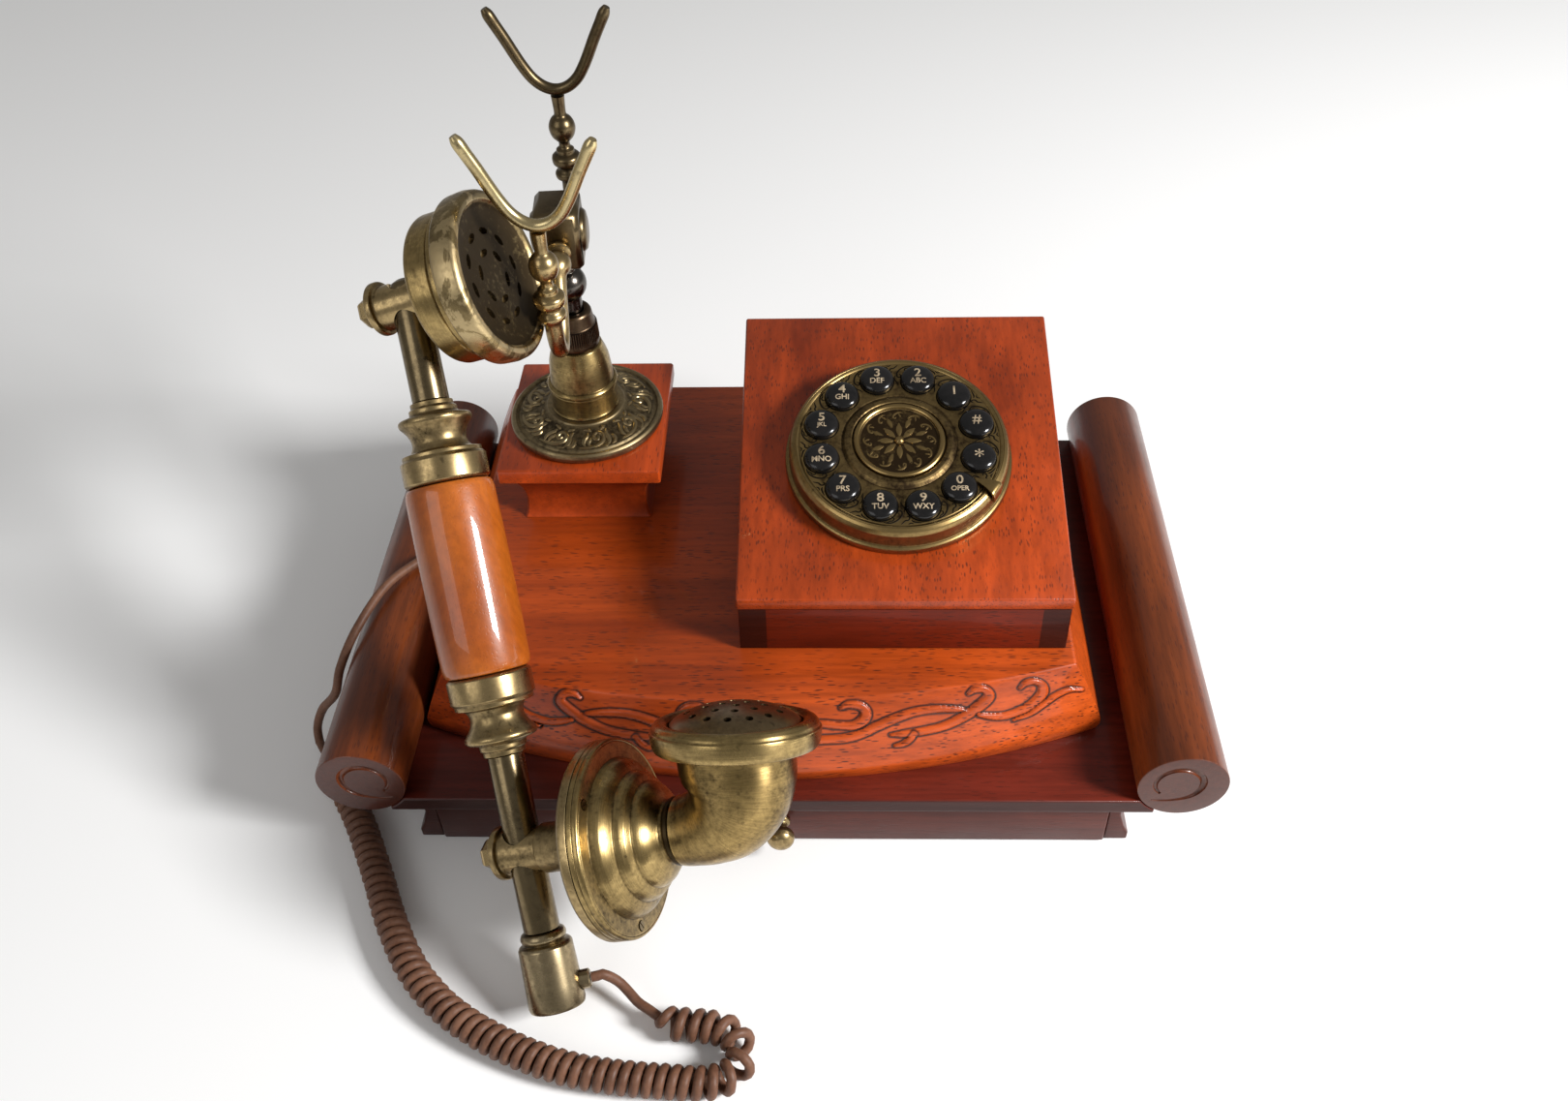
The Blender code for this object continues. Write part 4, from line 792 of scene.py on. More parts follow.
# strokes of the carved front: (across, down from the top edge, width), in mm; the left half mirrors them
carving = {
    "mirrorAt": 11.5, "raise": 0.0009, "sink": 0.0007, "fuller": 1.15, "strokes": [[(16.6, 9.3, 0.7),
    (20.0, 9.7, 1.8), (24.4, 10.3, 2.3), (29.0, 11.1, 2.4), (34.2, 11.6, 2.8), (37.9, 9.8, 3.3), (39.4, 6.6, 3.1),
    (37.4, 4.0, 2.7), (33.4, 3.3, 2.0), (30.4, 4.4, 0.9)], [(5.7, 17.0, 2.6), (12.2, 17.0, 2.6), (21.4, 16.5, 2.7),
    (29.8, 16.5, 2.8), (35.9, 15.4, 2.8), (41.9, 13.0, 2.8), (49.9, 10.2, 2.8), (57.1, 8.6, 2.6), (64.7, 8.6, 2.4),
    (71.5, 9.8, 2.0), (75.9, 11.0, 1.0)], [(46.9, 16.8, 0.8), (51.9, 17.0, 2.2), (57.9, 16.9, 2.6), (66.3, 16.0, 2.8),
    (74.3, 13.2, 3.2), (80.7, 9.8, 3.4), (84.6, 6.8, 3.2), (84.0, 3.8, 2.8), (80.7, 3.0, 2.2), (77.6, 4.4, 1.0)],
    [(55.0, 17.4, 1.8), (53.4, 19.3, 2.0), (50.9, 21.0, 1.8), (47.7, 21.5, 0.9)], [(79.1, 13.8, 1.6),
    (83.5, 15.6, 2.4), (87.9, 16.4, 2.6), (93.2, 15.8, 2.8), (97.2, 14.6, 3.0), (101.2, 12.3, 3.2), (103.9, 9.5, 3.2),
    (104.4, 6.4, 2.8), (102.4, 4.3, 2.4), (99.2, 4.3, 1.9), (96.4, 6.0, 0.9)], [(90.4, 19.0, 0.9), (96.8, 17.9, 1.6),
    (102.4, 15.2, 2.0), (108.0, 12.6, 2.0), (113.0, 11.6, 1.8), (117.4, 13.0, 1.2)]]}


# how far the front stands out at each point, and how shaded it is there: numpy arrays in mm
def carvedFront(across, down):
    height, shade = np.zeros(across.shape), np.zeros(across.shape)
    for stroke in carving["strokes"]:
        for mirror in (False, True):
            line = np.array([tuple(p) for p in smoothLine(stroke, 5)])
            if mirror:
                line[:, 0] = carving["mirrorAt"] - line[:, 0]
            near, off = np.full(across.shape, 9.0), np.full(across.shape, 9.0)
            for a, b in zip(line, line[1:]):
                span = b - a
                t = np.clip(((across - a[0]) * span[0] + (down - a[1]) * span[1])
                            / max(span[0] ** 2 + span[1] ** 2, 1e-9), 0, 1)
                far = np.hypot(across - a[0] - t * span[0], down - a[1] - t * span[1])
                half = np.maximum((a[2] + t * span[2]) / 2 * carving["fuller"], 0.25)
                near, off = np.minimum(near, far / half), np.minimum(off, far - half)
            rise = np.clip((0.35 - off) / 0.9, 0, 1)
            body = rise * rise * (3 - 2 * rise) * (1 - 0.25 * np.clip(near, 0, 1) ** 2) * carving["raise"]
            moat = np.exp(-((off - 0.55) / 0.42) ** 2)
            over = near < 1
            sunk = np.where(height < 0.0003, moat * carving["sink"], 0)
            height = np.maximum(height, body) - np.where(over, 0, sunk)
            shade = np.where(over, np.maximum(shade, 0.0), np.minimum(shade, -0.55 * moat))
    return height, shade


def makeDeck():
    d = deckSizes
    tall, flare = d["top"] - d["low"], d["flare"]
    profile, last = [], None
    for spot in smoothLine([(flare * a, tall * b, 0) for a, b in d["profile"]], 40):
        # close rows where the carving is, wider ones below it
        step = d["carvedStep"] if spot.y > tall * d["carvedFrom"] else d["plainStep"]
        if last is None or (spot - last).length > step:
            profile.append((spot.x, spot.y))
            last = spot
    profile += [(-0.0004, tall * 0.997), (-0.001, tall)]
    spread, rise = np.array(profile).T
    down = np.concatenate([[0], np.cumsum(np.hypot(np.diff(spread), np.diff(rise)))])
    share = np.linspace(-1, 1, d["columns"] + 1)
    down = np.repeat(((down[-1] - down) * 1000)[:, None], len(share), 1)
    shares, spreads = np.meshgrid(share, spread)
    corner = d["cornerY"] - spreads * d["cornerShare"]
    bow = d["bowY"] - spreads
    spot = np.stack([d["centreX"] + (d["halfWidth"] + spreads) * shares, bow + (corner - bow) * shares ** 2,
                     d["low"] + np.repeat(rise[:, None], len(share), 1)], -1)
    out = np.cross(np.gradient(spot, axis=1), np.gradient(spot, axis=0))
    out /= np.linalg.norm(out, axis=2, keepdims=True)
    height, shade = carvedFront(shares * d["carvedHalf"], down)
    edge = np.clip((1 - np.abs(shares)) * 40, 0, 1) * np.clip(down / 1.5, 0, 1)
    spot = spot + out * (height * edge)[..., None]
    rings, shades = [], []
    for row, dim, wide, up in zip(spot, shade * edge, d["halfWidth"] + spread, rise):
        rings.append(list(row) + [(d["centreX"] + side * wide, d["backY"], d["low"] + up) for side in (1, -1)])
        shades += list(dim) + [0, 0]
    mesh = skinned("deck_look", rings)
    # the carving's painted shade round each stroke, carried through the cut into the relief
    mesh.attributes.new("carvingShade", 'FLOAT', 'POINT').data.foreach_set("value", shades)
    work = bmesh.new()  # room for the line socket
    bmesh.ops.create_cube(work, size=1.0)
    for vert in work.verts:
        vert.co = [(a + b) / 2 + (b - a) * c for a, b, c in zip(d["pocketLow"], d["pocketHigh"], vert.co)]
    mesh = cut(mesh, [meshFrom(work, "pocket")])
    piece = addPiece("deck_look", mesh, redWoodX, "base", ["deck"], sharp=38)
    mark, carvingShade = piece.data.attributes["relief"], piece.data.attributes["carvingShade"]
    worth, dims = np.empty(len(mark.data)), np.empty(len(mark.data))
    mark.data.foreach_get("value", worth)
    carvingShade.data.foreach_get("value", dims)
    mark.data.foreach_set("value", np.clip(worth, -0.3, 0.5) + dims)
    piece.data.attributes.remove(carvingShade)


makeDeck()
dressCopy("dial_box_lid", redWoodY, "base", 0.0003, 2)

# pedestal: its rows are (spread, share of the height)
pedestal = {
    "place": (-0.0753, 0.0434), "size": (0.0637, 0.0703), "low": 0.0642, "top": 0.0937, "corner": 0.0007,
    "rows": [(-0.0062, 0.0), (-0.007, 0.06), (-0.0076, 0.16), (-0.0079, 0.28), (-0.0076, 0.4), (-0.0068, 0.52),
    (-0.0055, 0.62), (-0.0038, 0.7), (-0.0026, 0.745), (-0.0022, 0.765), (-0.0004, 0.785), (0.0, 0.8), (0.0, 0.965),
    (-0.0002, 0.985), (-0.0009, 1.0)]}


def makePedestal():
    p = pedestal
    rings, c = [], p["corner"]
    for spread, share in p["rows"]:
        x, y = (size / 2 + spread for size in p["size"])
        outline = [(-x + c, -y), (x - c, -y), (x, -y + c), (x, y - c), (x - c, y), (-x + c, y), (-x, y - c),
                   (-x, -y + c)]
        z = p["low"] + (p["top"] - p["low"]) * share
        rings.append([(p["place"][0] + px, p["place"][1] + py, z) for px, py in outline])
    addPiece("pedestal_look", skinned("pedestal_look", rings), redWoodY, "base", ["pedestal"], sharp=30)


makePedestal()
print("deck, lid and pedestal made")

knob = {
    "place": (0.004, -0.0967, 0.013), "radius": 0.0052, "length": 0.0115, "shares": [(0, 1), (0.25, 0.995),
    (0.45, 0.975), (0.66, 0.935), (0.82, 0.87), (0.94, 0.78), (1.0, 0.66), (0.985, 0.57), (0.9, 0.49), (0.74, 0.43),
    (0.5, 0.385), (0.44, 0.34), (0.42, 0.22), (0.46, 0.16), (0.58, 0.12), (0.64, 0.09), (0.66, 0.04), (0.66, 0),
    (0, 0)]}


def makeKnob():
    mesh = lathe("drawer_knob_look", scaled(knob["shares"], knob["radius"], knob["length"]),
                 placed(knob["place"], (0, -1, 0)), 64, 0.0001)
    addPiece("drawer_knob_look", mesh, oldBrass, "drawer", ["drawer_knob"])


makeKnob()

# push-button dial
dial = {
    "wellLong": 0.008, "digitUp": 0.0017, "loneUp": 0.0006, "letterDown": 0.0021, "centreX": 0.0481,
    "shareUp": 0.462, "frontY": -0.0575, "backY": 0.0715, "frontZ": 0.0903, "backZ": 0.1208, "height": 0.0108,
    "radius": 0.0407, "flange": 0.0423, "wall": 0.0022, "ringIn": 0.0174, "ringOut": 0.0209, "keyCircle": 0.0297,
    "keyRadius": 0.0064, "keyRise": 0.0034, "keyDepth": 0.0046, "firstKey": -15.0, "names": ["star", "hash", "1", "2",
    "3", "4", "5", "6", "7", "8", "9", "0"], "prints": {"1": "", "2": "ABC", "3": "DEF", "4": "GHI", "5": "JKL",
    "6": "MNO", "7": "PRS", "8": "TUV", "9": "WXY", "0": "OPER"}, "digitTall": 0.004, "letterTall": 0.0023,
    "signTall": 0.0046, "signs": {"star": ("*", 0.8), "hash": ("#", 0.9)}, "longWord": 0.86, "signHeavy": 0.00002,
    "digitHeavy": 0.00006, "letterHeavy": 0.00005,
    "printUp": 0.00007, "printThick": 0.00012, "printEdge": 0.0006, "scrollThin": 0.34, "scrollUp": 0.00001,
    "scrollFlat": 0.3}
lidSlope = math.atan2(dial["backZ"] - dial["frontZ"], dial["backY"] - dial["frontY"])
dialWay = Vector((0, -math.sin(lidSlope), math.cos(lidSlope)))

# leaf scrolls engraved between the keys and the rim: (degrees, reach, half width) in degrees and mm
dialScrolls = [
    [(-10.5, 36.3, 0.5), (-8.0, 36.4, 0.9), (-5.5, 36.0, 1.0), (-3.0, 35.0, 1.1), (-1.0, 33.7, 1.1),
    (0.2, 32.2, 1.0), (-0.4, 30.9, 0.9), (-2.0, 30.7, 0.8), (-2.6, 31.7, 0.7), (-1.6, 32.2, 0.5)], [(-0.6, 36.6, 0.4),
    (0.6, 35.8, 0.8), (2.0, 35.0, 1.0), (3.6, 34.9, 1.0), (4.6, 34.0, 0.9), (3.8, 33.2, 0.8), (2.8, 33.6, 0.5)],
    [(10.8, 36.6, 0.5), (8.2, 36.1, 0.9), (6.4, 35.6, 1.0), (5.6, 34.9, 0.5)], [(-8.6, 36.2, 0.4), (-7.0, 35.5, 0.8),
    (-5.4, 35.2, 0.9), (-4.8, 34.3, 0.8), (-5.6, 33.9, 0.4)], [(1.4, 31.4, 0.4), (1.9, 30.2, 0.8), (1.2, 28.9, 0.8),
    (0.0, 28.0, 0.7), (-0.6, 26.8, 0.4)], [(3.4, 36.7, 0.4), (4.8, 36.2, 0.9), (6.4, 36.6, 0.4)]]


def dialPlace(height=0.0, reach=0.0, degrees=0.0):
    y = dial["frontY"] + (dial["backY"] - dial["frontY"]) * dial["shareUp"]
    z = dial["frontZ"] + (dial["backZ"] - dial["frontZ"]) * dial["shareUp"]
    seat = Vector((dial["centreX"], y, z)) + dialWay * gap
    angle = math.radians(degrees)
    return placed(seat, dialWay, (1, 0, 0)) @ Matrix.Translation(
        (reach * math.cos(angle), reach * math.sin(angle), height))


# how far a spot lies from an axis, and how far along it
def offAxis(spot, centre, axis):
    off = spot - centre
    up = off.dot(axis)
    return (off - axis * up).length, up


def groove(reach, height, wide=0.00016, deep=0.00022):
    return [(reach - wide, height), (reach, height - deep), (reach + wide, height)]


def makeDialHousing():
    d = dial
    top, ringIn, ringOut = d["height"], d["ringIn"], d["ringOut"]
    plate, inner = top - d["wall"], d["radius"] - d["wall"]
    rows = [(ringOut + 0.0004, top - 0.0002), (ringOut + 0.0009, top), (0.025, top), (0.03, top), (0.0334, top),
            (0.0346, top), (0.0365, top), *groove(0.037, top), (0.0375, top + 0.0002), (0.038, top + 0.0004),
            *groove(0.0384, top + 0.0004), (0.0389, top + 0.0002), (0.0397, top - 0.0004), (0.0404, top - 0.0014),
            (d["radius"], plate), (d["radius"], 0.0036), (0.0409, 0.0029), (0.0414, 0.0028), (0.0421, 0.0024),
            (d["flange"], 0.0017), (d["flange"], 0), (inner, 0), (inner, plate), (0.0087, plate), (0.0087, top),
            (ringIn, top), (ringIn + 0.0001, top + 0.001), (ringIn + 0.0005, top + 0.0013),
            (ringOut - 0.0016, top + 0.0013), (ringOut - 0.0007, top + 0.0009), (ringOut, top + 0.0002)]
    mesh = lathe("dial", rows, dialPlace(), 180, 0.00012, closed=True)
    wells = pegRing(len(d["names"]), math.radians(d["firstKey"]), 48, d["keyRadius"] + gap, d["wellLong"],
                    d["keyCircle"], plate, dialPlace())
    seat = dialPlace().translation

    def tarnish(spot):  # dark between the keys and round the medallion, rubbed bright along the rim
        reach, up = offAxis(spot, seat, dialWay)
        if up < top - 0.0012:
            return 0.0
        return 0.1 if reach > 0.0345 else (-0.16 if reach < 0.0335 else 0.0)

    addPiece("dial_housing_look", cut(mesh, [wells]), dialBrass, "base", ["dial_housing"], sharp=30, shade=tarnish)
    thin = [[(a, r, w * d["scrollThin"]) for a, r, w in line] for line in dialScrolls]
    edges = strokeEdges(thin, lambda r: top + d["scrollUp"], d["scrollFlat"])
    lines = strokeRing(len(d["names"]), 0.0, 8, d["scrollFlat"], edges, dialPlace())
    addPiece("dial_scrolls", lines, blackLine, "base", finish="dial_housing")


# medallion: a generic rosette of petals, leaves and curls on a flat field inside a bead
medallion = {
    "field": 0.0004, "rows": [(0, 0.0004), (0.0144, 0.0004), (0.0147, 0.0006), (0.0149, 0.0012), (0.0154, 0.0016),
    (0.0162, 0.0016), (0.0168, 0.0012), (0.017, 0.0006), (0.017, 0), (0, 0)], "petal": [[(0, 2.0, 0.3), (0, 3.4, 1.0),
    (0, 5.0, 1.35), (0, 6.6, 1.0), (0, 8.2, 0.28)], [(0, 3.0, 0.12), (0, 5.0, 0.16), (0, 7.6, 0.12)]],
    "leaf": [[(0, 6.4, 0.25), (0, 7.6, 0.8), (0, 9.0, 1.1), (0, 10.2, 0.75), (0, 11.2, 0.22)]],
    "curl": [[(-13, 12.9, 0.2), (-8, 13.2, 0.42), (-2, 12.8, 0.5), (3, 11.9, 0.48), (5, 10.9, 0.42),
    (1.5, 10.5, 0.36), (-0.5, 11.2, 0.28), (1.0, 11.7, 0.18)], [(-4, 12.9, 0.15), (-6.5, 12.2, 0.4),
    (-8.5, 11.4, 0.42), (-10, 10.8, 0.15)]], "rings": [("petal", 8, 0.0, 0.55), ("leaf", 8, math.pi / 8, 0.45),
    ("curl", 12, 0.1, 0.7)], "boss": [(0, 0.0019), (0.0007, 0.0018), (0.0014, 0.0014), (0.0018, 0.0008),
    (0.0019, 0.0002), (0, 0.0002)]}


def makeMedallion():
    m = medallion
    parts = [lathe("medallion", m["rows"], Matrix(), 144, 0.00012)]
    for motif, count, start, flatten in m["rings"]:
        parts.append(strokeRing(count, start, 10, flatten, strokeEdges(m[motif], lambda r: m["field"], flatten)))
    parts.append(lathe("boss", m["boss"], Matrix(), 40, 0.0001))
    mesh = joined(*parts)
    place = dialPlace(dial["height"] + gap)
    mesh.transform(place)

    def sunk(spot):  # patina lies on the field between the petals
        flat, up = offAxis(spot, place.translation, dialWay)
        return -0.34 if flat < 0.0145 and up < 0.00055 else (0.16 if up > 0.0009 else 0.0)

    addPiece("dial_medallion_look", mesh, dialBrass, "base", ["dial_medallion"], shade=sunk)


def flatText(words, tall, centreY, heavy):
    data = bpy.data.curves.new("print", 'FONT')
    data.body, data.size, data.offset, data.resolution_u = words, tall / 0.72, heavy, 3
    mesh = taken(linked("print", data))
    xs, ys = [v.co.x for v in mesh.vertices], [v.co.y for v in mesh.vertices]
    stretch = tall / (max(ys) - min(ys))
    midX, midY = (max(xs) + min(xs)) / 2, (max(ys) + min(ys)) / 2
    for v in mesh.vertices:
        v.co = ((v.co.x - midX) * stretch, (v.co.y - midY) * stretch + centreY, 0)
    return mesh


keyDome = [
    (0, 1.0), (0.2, 0.995), (0.4, 0.98), (0.6, 0.952), (0.76, 0.915), (0.88, 0.865), (0.95, 0.81), (0.99, 0.74),
    (1.0, 0.66), (1.0, 0.0), (0, 0)]


def makeKeys():
    d = dial
    tall = d["keyRise"] + d["keyDepth"]
    reach, rise = zip(*keyDome[:9])  # the rounded top alone
    for i, name in enumerate(d["names"]):
        place = dialPlace(d["height"] - d["keyDepth"], d["keyCircle"], d["firstKey"] + 360.0 / len(d["names"]) * i)
        body = "key_" + name
        addPiece(body + "_look", lathe(body, scaled(keyDome, d["keyRadius"], tall), place, 64, 0.0002), keyBlack, body,
                 [body])
        letters = d["prints"].get(name, "")
        if name in d["signs"]:
            sign, share = d["signs"][name]
            parts = [flatText(sign, d["signTall"] * share, 0.0, d["signHeavy"])]
        else:
            parts = [flatText(name, d["digitTall"], d["digitUp"] if letters else d["loneUp"], d["digitHeavy"])]
        if letters:
            share = d["longWord"] if len(letters) > 3 else 1.0
            parts.append(flatText(letters, d["letterTall"] * share, -d["letterDown"], d["letterHeavy"]))
        work = bmesh.new()
        work.from_mesh(joined(*parts))
        bmesh.ops.remove_doubles(work, verts=work.verts, dist=1e-6)
        for _ in range(3):  # short edges, so the print can follow the dome
            bmesh.ops.triangulate(work, faces=work.faces)
            long = [e for e in work.edges if e.calc_length() > d["printEdge"]]
            if long:
                bmesh.ops.subdivide_edges(work, edges=long, cuts=1)
        bmesh.ops.triangulate(work, faces=work.faces)
        for v in work.verts:
            share = math.hypot(v.co.x, v.co.y) / d["keyRadius"]
            v.co.z = float(np.interp(share, reach, rise)) * tall + d["printUp"]
        mesh = applied(meshFrom(work, "print"), ('SOLIDIFY', {"thickness": d["printThick"], "offset": -1.0}))
        mesh.transform(place)
        addPiece(body + "_print", mesh, keyPrint, body, finish=body)


# the pointer by the last key: its path is (reach, height above low, half width)
pointer = {
    "low": 0.00085, "turn": -33.0, "bow": 0.00018, "thick": 0.0009, "path": [(0.0322, 0, 0.0003),
    (0.0345, 0.0004, 0.0011), (0.0372, 0.0008, 0.0019), (0.0396, 0.0007, 0.0027), (0.0407, 0.0002, 0.003),
    (0.0412, -0.001, 0.003), (0.04135, -0.0028, 0.0027), (0.0413, -0.0046, 0.0024)]}


def makePointer():
    p = pointer
    low = dial["height"] + p["low"]
    work = bmesh.new()
    rows = []
    for reach, height, half in smoothLine([(r, low + h, w) for r, h, w in p["path"]], 3):
        rows.append([work.verts.new((reach, side * half, height + p["bow"] * (1 - side * side)))
                     for side in (-1, -0.6, -0.2, 0.2, 0.6, 1)])
    for a, b in zip(rows, rows[1:]):
        for i in range(5):
            work.faces.new((a[i], b[i], b[i + 1], a[i + 1]))
    mesh = applied(meshFrom(work, "pointer", True), ('SOLIDIFY', {"thickness": p["thick"], "offset": 0.0}),
                   ('BEVEL', {"width": 0.00015, "segments": 2, "limit_method": 'ANGLE'}))
    mesh.transform(dialPlace() @ Matrix.Rotation(math.radians(p["turn"]), 4, 'Z'))
    addPiece("dial_pointer_look", mesh, dialBrass, "base", ["dial_pointer"])


makeDialHousing()
makeMedallion()
makeKeys()
makePointer()
print("dial made")


# column and cradle
column = {
    "x": -0.0752, "y": 0.0425, "low": 0.094, "turn": 4.1, "flangeTall": 0.0078, "drumTall": 0.0285,
    "bore": 0.0047, "boreDeep": 0.021, "boreLong": 0.05, "slopeFrom": 0.0158, "slopeStep": 0.0011, "slopeSteps": 11,
    "leaves": 9, "leafTurn": 0.2, "leafFuller": 1.4, "leafFlat": 0.85, "ribs": 64,
    "rib": (0.0003, 0.0064, 0.00872, 0.0054), "ribLean": (-0.0003, 0.0065)}  # radius, length, reach, height; in, up
flangeRows = [
    (0, 0.0078), (0.0153, 0.0078), (0.0158, 0.0072), (0.019, 0.006), (0.0235, 0.0047), (0.0268, 0.0041),
    (0.0276, 0.0033), (0.028, 0.0031), (0.0286, 0.004), (0.0296, 0.0042), (0.0304, 0.0034), (0.0306, 0.0022),
    (0.0303, 0.0006), (0.0297, 0), (0, 0)]
drumRows = [
    (0, 0.0285), (0.0083, 0.0285), (0.0095, 0.0281), (0.0099, 0.0268), (0.011, 0.0239), (0.0117, 0.0211),
    (0.0122, 0.016), (0.0124, 0.0118), (0.013, 0.0117), (0.0137, 0.011), (0.0138, 0.0104), (0.0136, 0.0097),
    (0.0131, 0.0094), (0.0133, 0.0088), (0.0131, 0.008), (0.0131, 0.0009), (0.0136, 0.0), (0, 0)]
collarRows = [
    (0.0047, 0.015), (0.006, 0.015), (0.0068, 0.0147), (0.0073, 0.014), (0.0075, 0.0128), (0.0078, 0.0108),
    (0.0081, 0.0094), (0.0083, 0.0091), (0.0084, 0.0087), (0.0086, 0.007), (0.0088, 0.0045), (0.0089, 0.0022),
    (0.009, 0.0017), (0.009, 0.0004), (0.0088, 0), (0.0047, 0)]

# scroll leaves of the flange: (degrees, reach, half width) in degrees and mm
leafScrolls = [
    [(-21, 25.6, 0.2), (-16, 25.5, 0.45), (-10, 25.3, 0.6), (-4, 24.6, 0.7), (1, 23.2, 0.75), (3.5, 21.3, 0.72),
    (2.0, 19.6, 0.66), (-2.5, 18.9, 0.6), (-6.0, 19.9, 0.55), (-6.2, 21.6, 0.5), (-3.2, 22.2, 0.45),
    (-1.6, 21.1, 0.5)], [(-12, 24.9, 0.15), (-12.5, 23.4, 0.55), (-11, 21.9, 0.6), (-9.4, 20.9, 0.15)],
    [(-16, 25.0, 0.15), (-17.5, 23.4, 0.6), (-16.5, 21.6, 0.7), (-13.6, 20.0, 0.6), (-12.5, 18.6, 0.15)],
    [(4.5, 25.6, 0.15), (7.0, 24.4, 0.6), (8.0, 22.6, 0.72), (7.4, 20.8, 0.65), (8.6, 19.2, 0.5), (10.6, 18.5, 0.15)],
    [(7.8, 25.9, 0.15), (11.0, 25.2, 0.6), (13.2, 23.9, 0.7), (13.0, 22.3, 0.6), (11.2, 21.8, 0.15)],
    [(2.6, 18.4, 0.15), (5.0, 17.7, 0.5), (8.2, 17.3, 0.5), (11.0, 17.2, 0.15)], [(-8.2, 18.4, 0.15),
    (-11.0, 17.6, 0.5), (-15.0, 17.3, 0.45), (-18, 17.4, 0.15)], [(-1, 26.3, 0.15), (2.5, 26.1, 0.45),
    (5.5, 25.6, 0.15)]]


def makeColumn():
    c = column
    at, z = (c["x"], c["y"]), c["low"]
    slopeReach, slopeHeight = zip(*sorted(flangeRows[1:8]))

    def slope(r):
        return float(np.interp(r, slopeReach, slopeHeight))

    def hollows(spot):  # dark between the leaves
        reach, up = math.hypot(spot.x - at[0], spot.y - at[1]), spot.z - z
        if 0.016 < reach < 0.027:
            return -0.13 if up < slope(reach) + 0.00008 else 0.14
        return 0.0

    reaches = [c["slopeFrom"] + c["slopeStep"] * i for i in range(c["slopeSteps"])]
    middle = [(reach, slope(reach)) for reach in reaches]
    wide = [[(a, r, w * c["leafFuller"]) for a, r, w in line] for line in leafScrolls]
    leaves = strokeRing(c["leaves"], c["leafTurn"], 10, c["leafFlat"], strokeEdges(wide, slope, c["leafFlat"]))
    mesh = joined(lathe("flange_look", flangeRows[:2] + middle + flangeRows[6:], Matrix(), 144, 0.0002), leaves)
    mesh.transform(Matrix.Translation((*at, z)))
    addPiece("flange_look", mesh, dullBrass, "base", ["pedestal_flange"], shade=hollows)
    z += c["flangeTall"] + gap
    mesh = lathe("drum_look", drumRows, placed((*at, z)), 144)
    well = rod("well", c["bore"], c["boreLong"], placed((*at, z + c["drumTall"] - c["boreDeep"])), 48)
    addPiece("drum_look", cut(mesh, [well]), brushedBrass, "base", ["column_drum"])
    z += c["drumTall"] + gap
    mesh = joined(lathe("collar", collarRows, Matrix(), 96, 0.0002, closed=True),
                  pegRing(c["ribs"], 0.0, 8, *c["rib"], stretch=0.8, lean=math.atan2(*c["ribLean"])))
    mesh.transform(Matrix.Translation((*at, z)))

    def between(spot):  # grime between the ribs
        reach, up = math.hypot(spot.x - at[0], spot.y - at[1]), spot.z - z
        return -0.3 if 0.002 < up < 0.009 and reach < 0.00888 else 0.0

    addPiece("collar_look", mesh, collarMetal, "base", ["knurled_collar"], shade=between)


makeColumn()

# the arm is (out, height, size) in shares, its post (height, size), the fork (across, height)
cradle = {
    "ballZ": 0.1572, "ball": 0.0071, "rod": 0.0044, "rodLow": 0.1158, "stem": 0.0037, "stemTop": 0.1679,
    "armReach": 0.0478, "dip": 0.1545, "armHeight": 0.048, "armBall": 0.0049, "postHeight": 0.0343,
    "forkSpread": 0.044, "forkHeight": 0.0305, "forkWire": 0.00215, "forkTip": 0.62, "forkTurns": {-1: -4.0, 1: 0.0},
    "ballFrom": 58.0, "ballTurn": 110.0, "ballSteps": 24}
armShape = [
    (0.217, 0.475, 0.8), (0.232, 0.475, 0.92), (0.258, 0.475, 0.92), (0.272, 0.475, 0.62), (0.295, 0.475, 0.62),
    (0.318, 0.472, 0.88), (0.355, 0.468, 1.0), (0.4, 0.458, 1.0), (0.435, 0.44, 0.86), (0.46, 0.415, 0.66),
    (0.51, 0.345, 0.62), (0.57, 0.26, 0.6), (0.63, 0.165, 0.6), (0.7, 0.085, 0.6), (0.78, 0.035, 0.6),
    (0.86, 0.045, 0.6), (0.93, 0.11, 0.61), (0.975, 0.2, 0.62), (0.995, 0.3, 0.63), (1.0, 0.4, 0.64)]
postShape = [
    (0.035, 0.98), (0.09, 1.02), (0.13, 0.78), (0.17, 0.78), (0.21, 1.1), (0.29, 1.1), (0.33, 0.72), (0.37, 0.7),
    (0.4, 0.46), (0.455, 0.44), (0.48, 0.56), (0.53, 0.86), (0.6, 1.02), (0.67, 1.0), (0.735, 0.78), (0.775, 0.5),
    (0.84, 0.46), (1.0, 0.52)]
forkShape = [
    (-1.0, 1.0), (-0.95, 0.93), (-0.86, 0.8), (-0.74, 0.63), (-0.63, 0.46), (-0.52, 0.3), (-0.39, 0.15),
    (-0.24, 0.05), (-0.08, 0.0), (0.08, 0.0), (0.24, 0.05), (0.39, 0.15), (0.52, 0.3), (0.63, 0.46), (0.74, 0.63),
    (0.86, 0.8), (0.95, 0.93), (1.0, 1.0)]


def onCradle(across, forward, z):
    turn = math.radians(column["turn"])
    return Vector((column["x"] + across * math.cos(turn) - forward * math.sin(turn),
                   column["y"] + across * math.sin(turn) + forward * math.cos(turn), z))


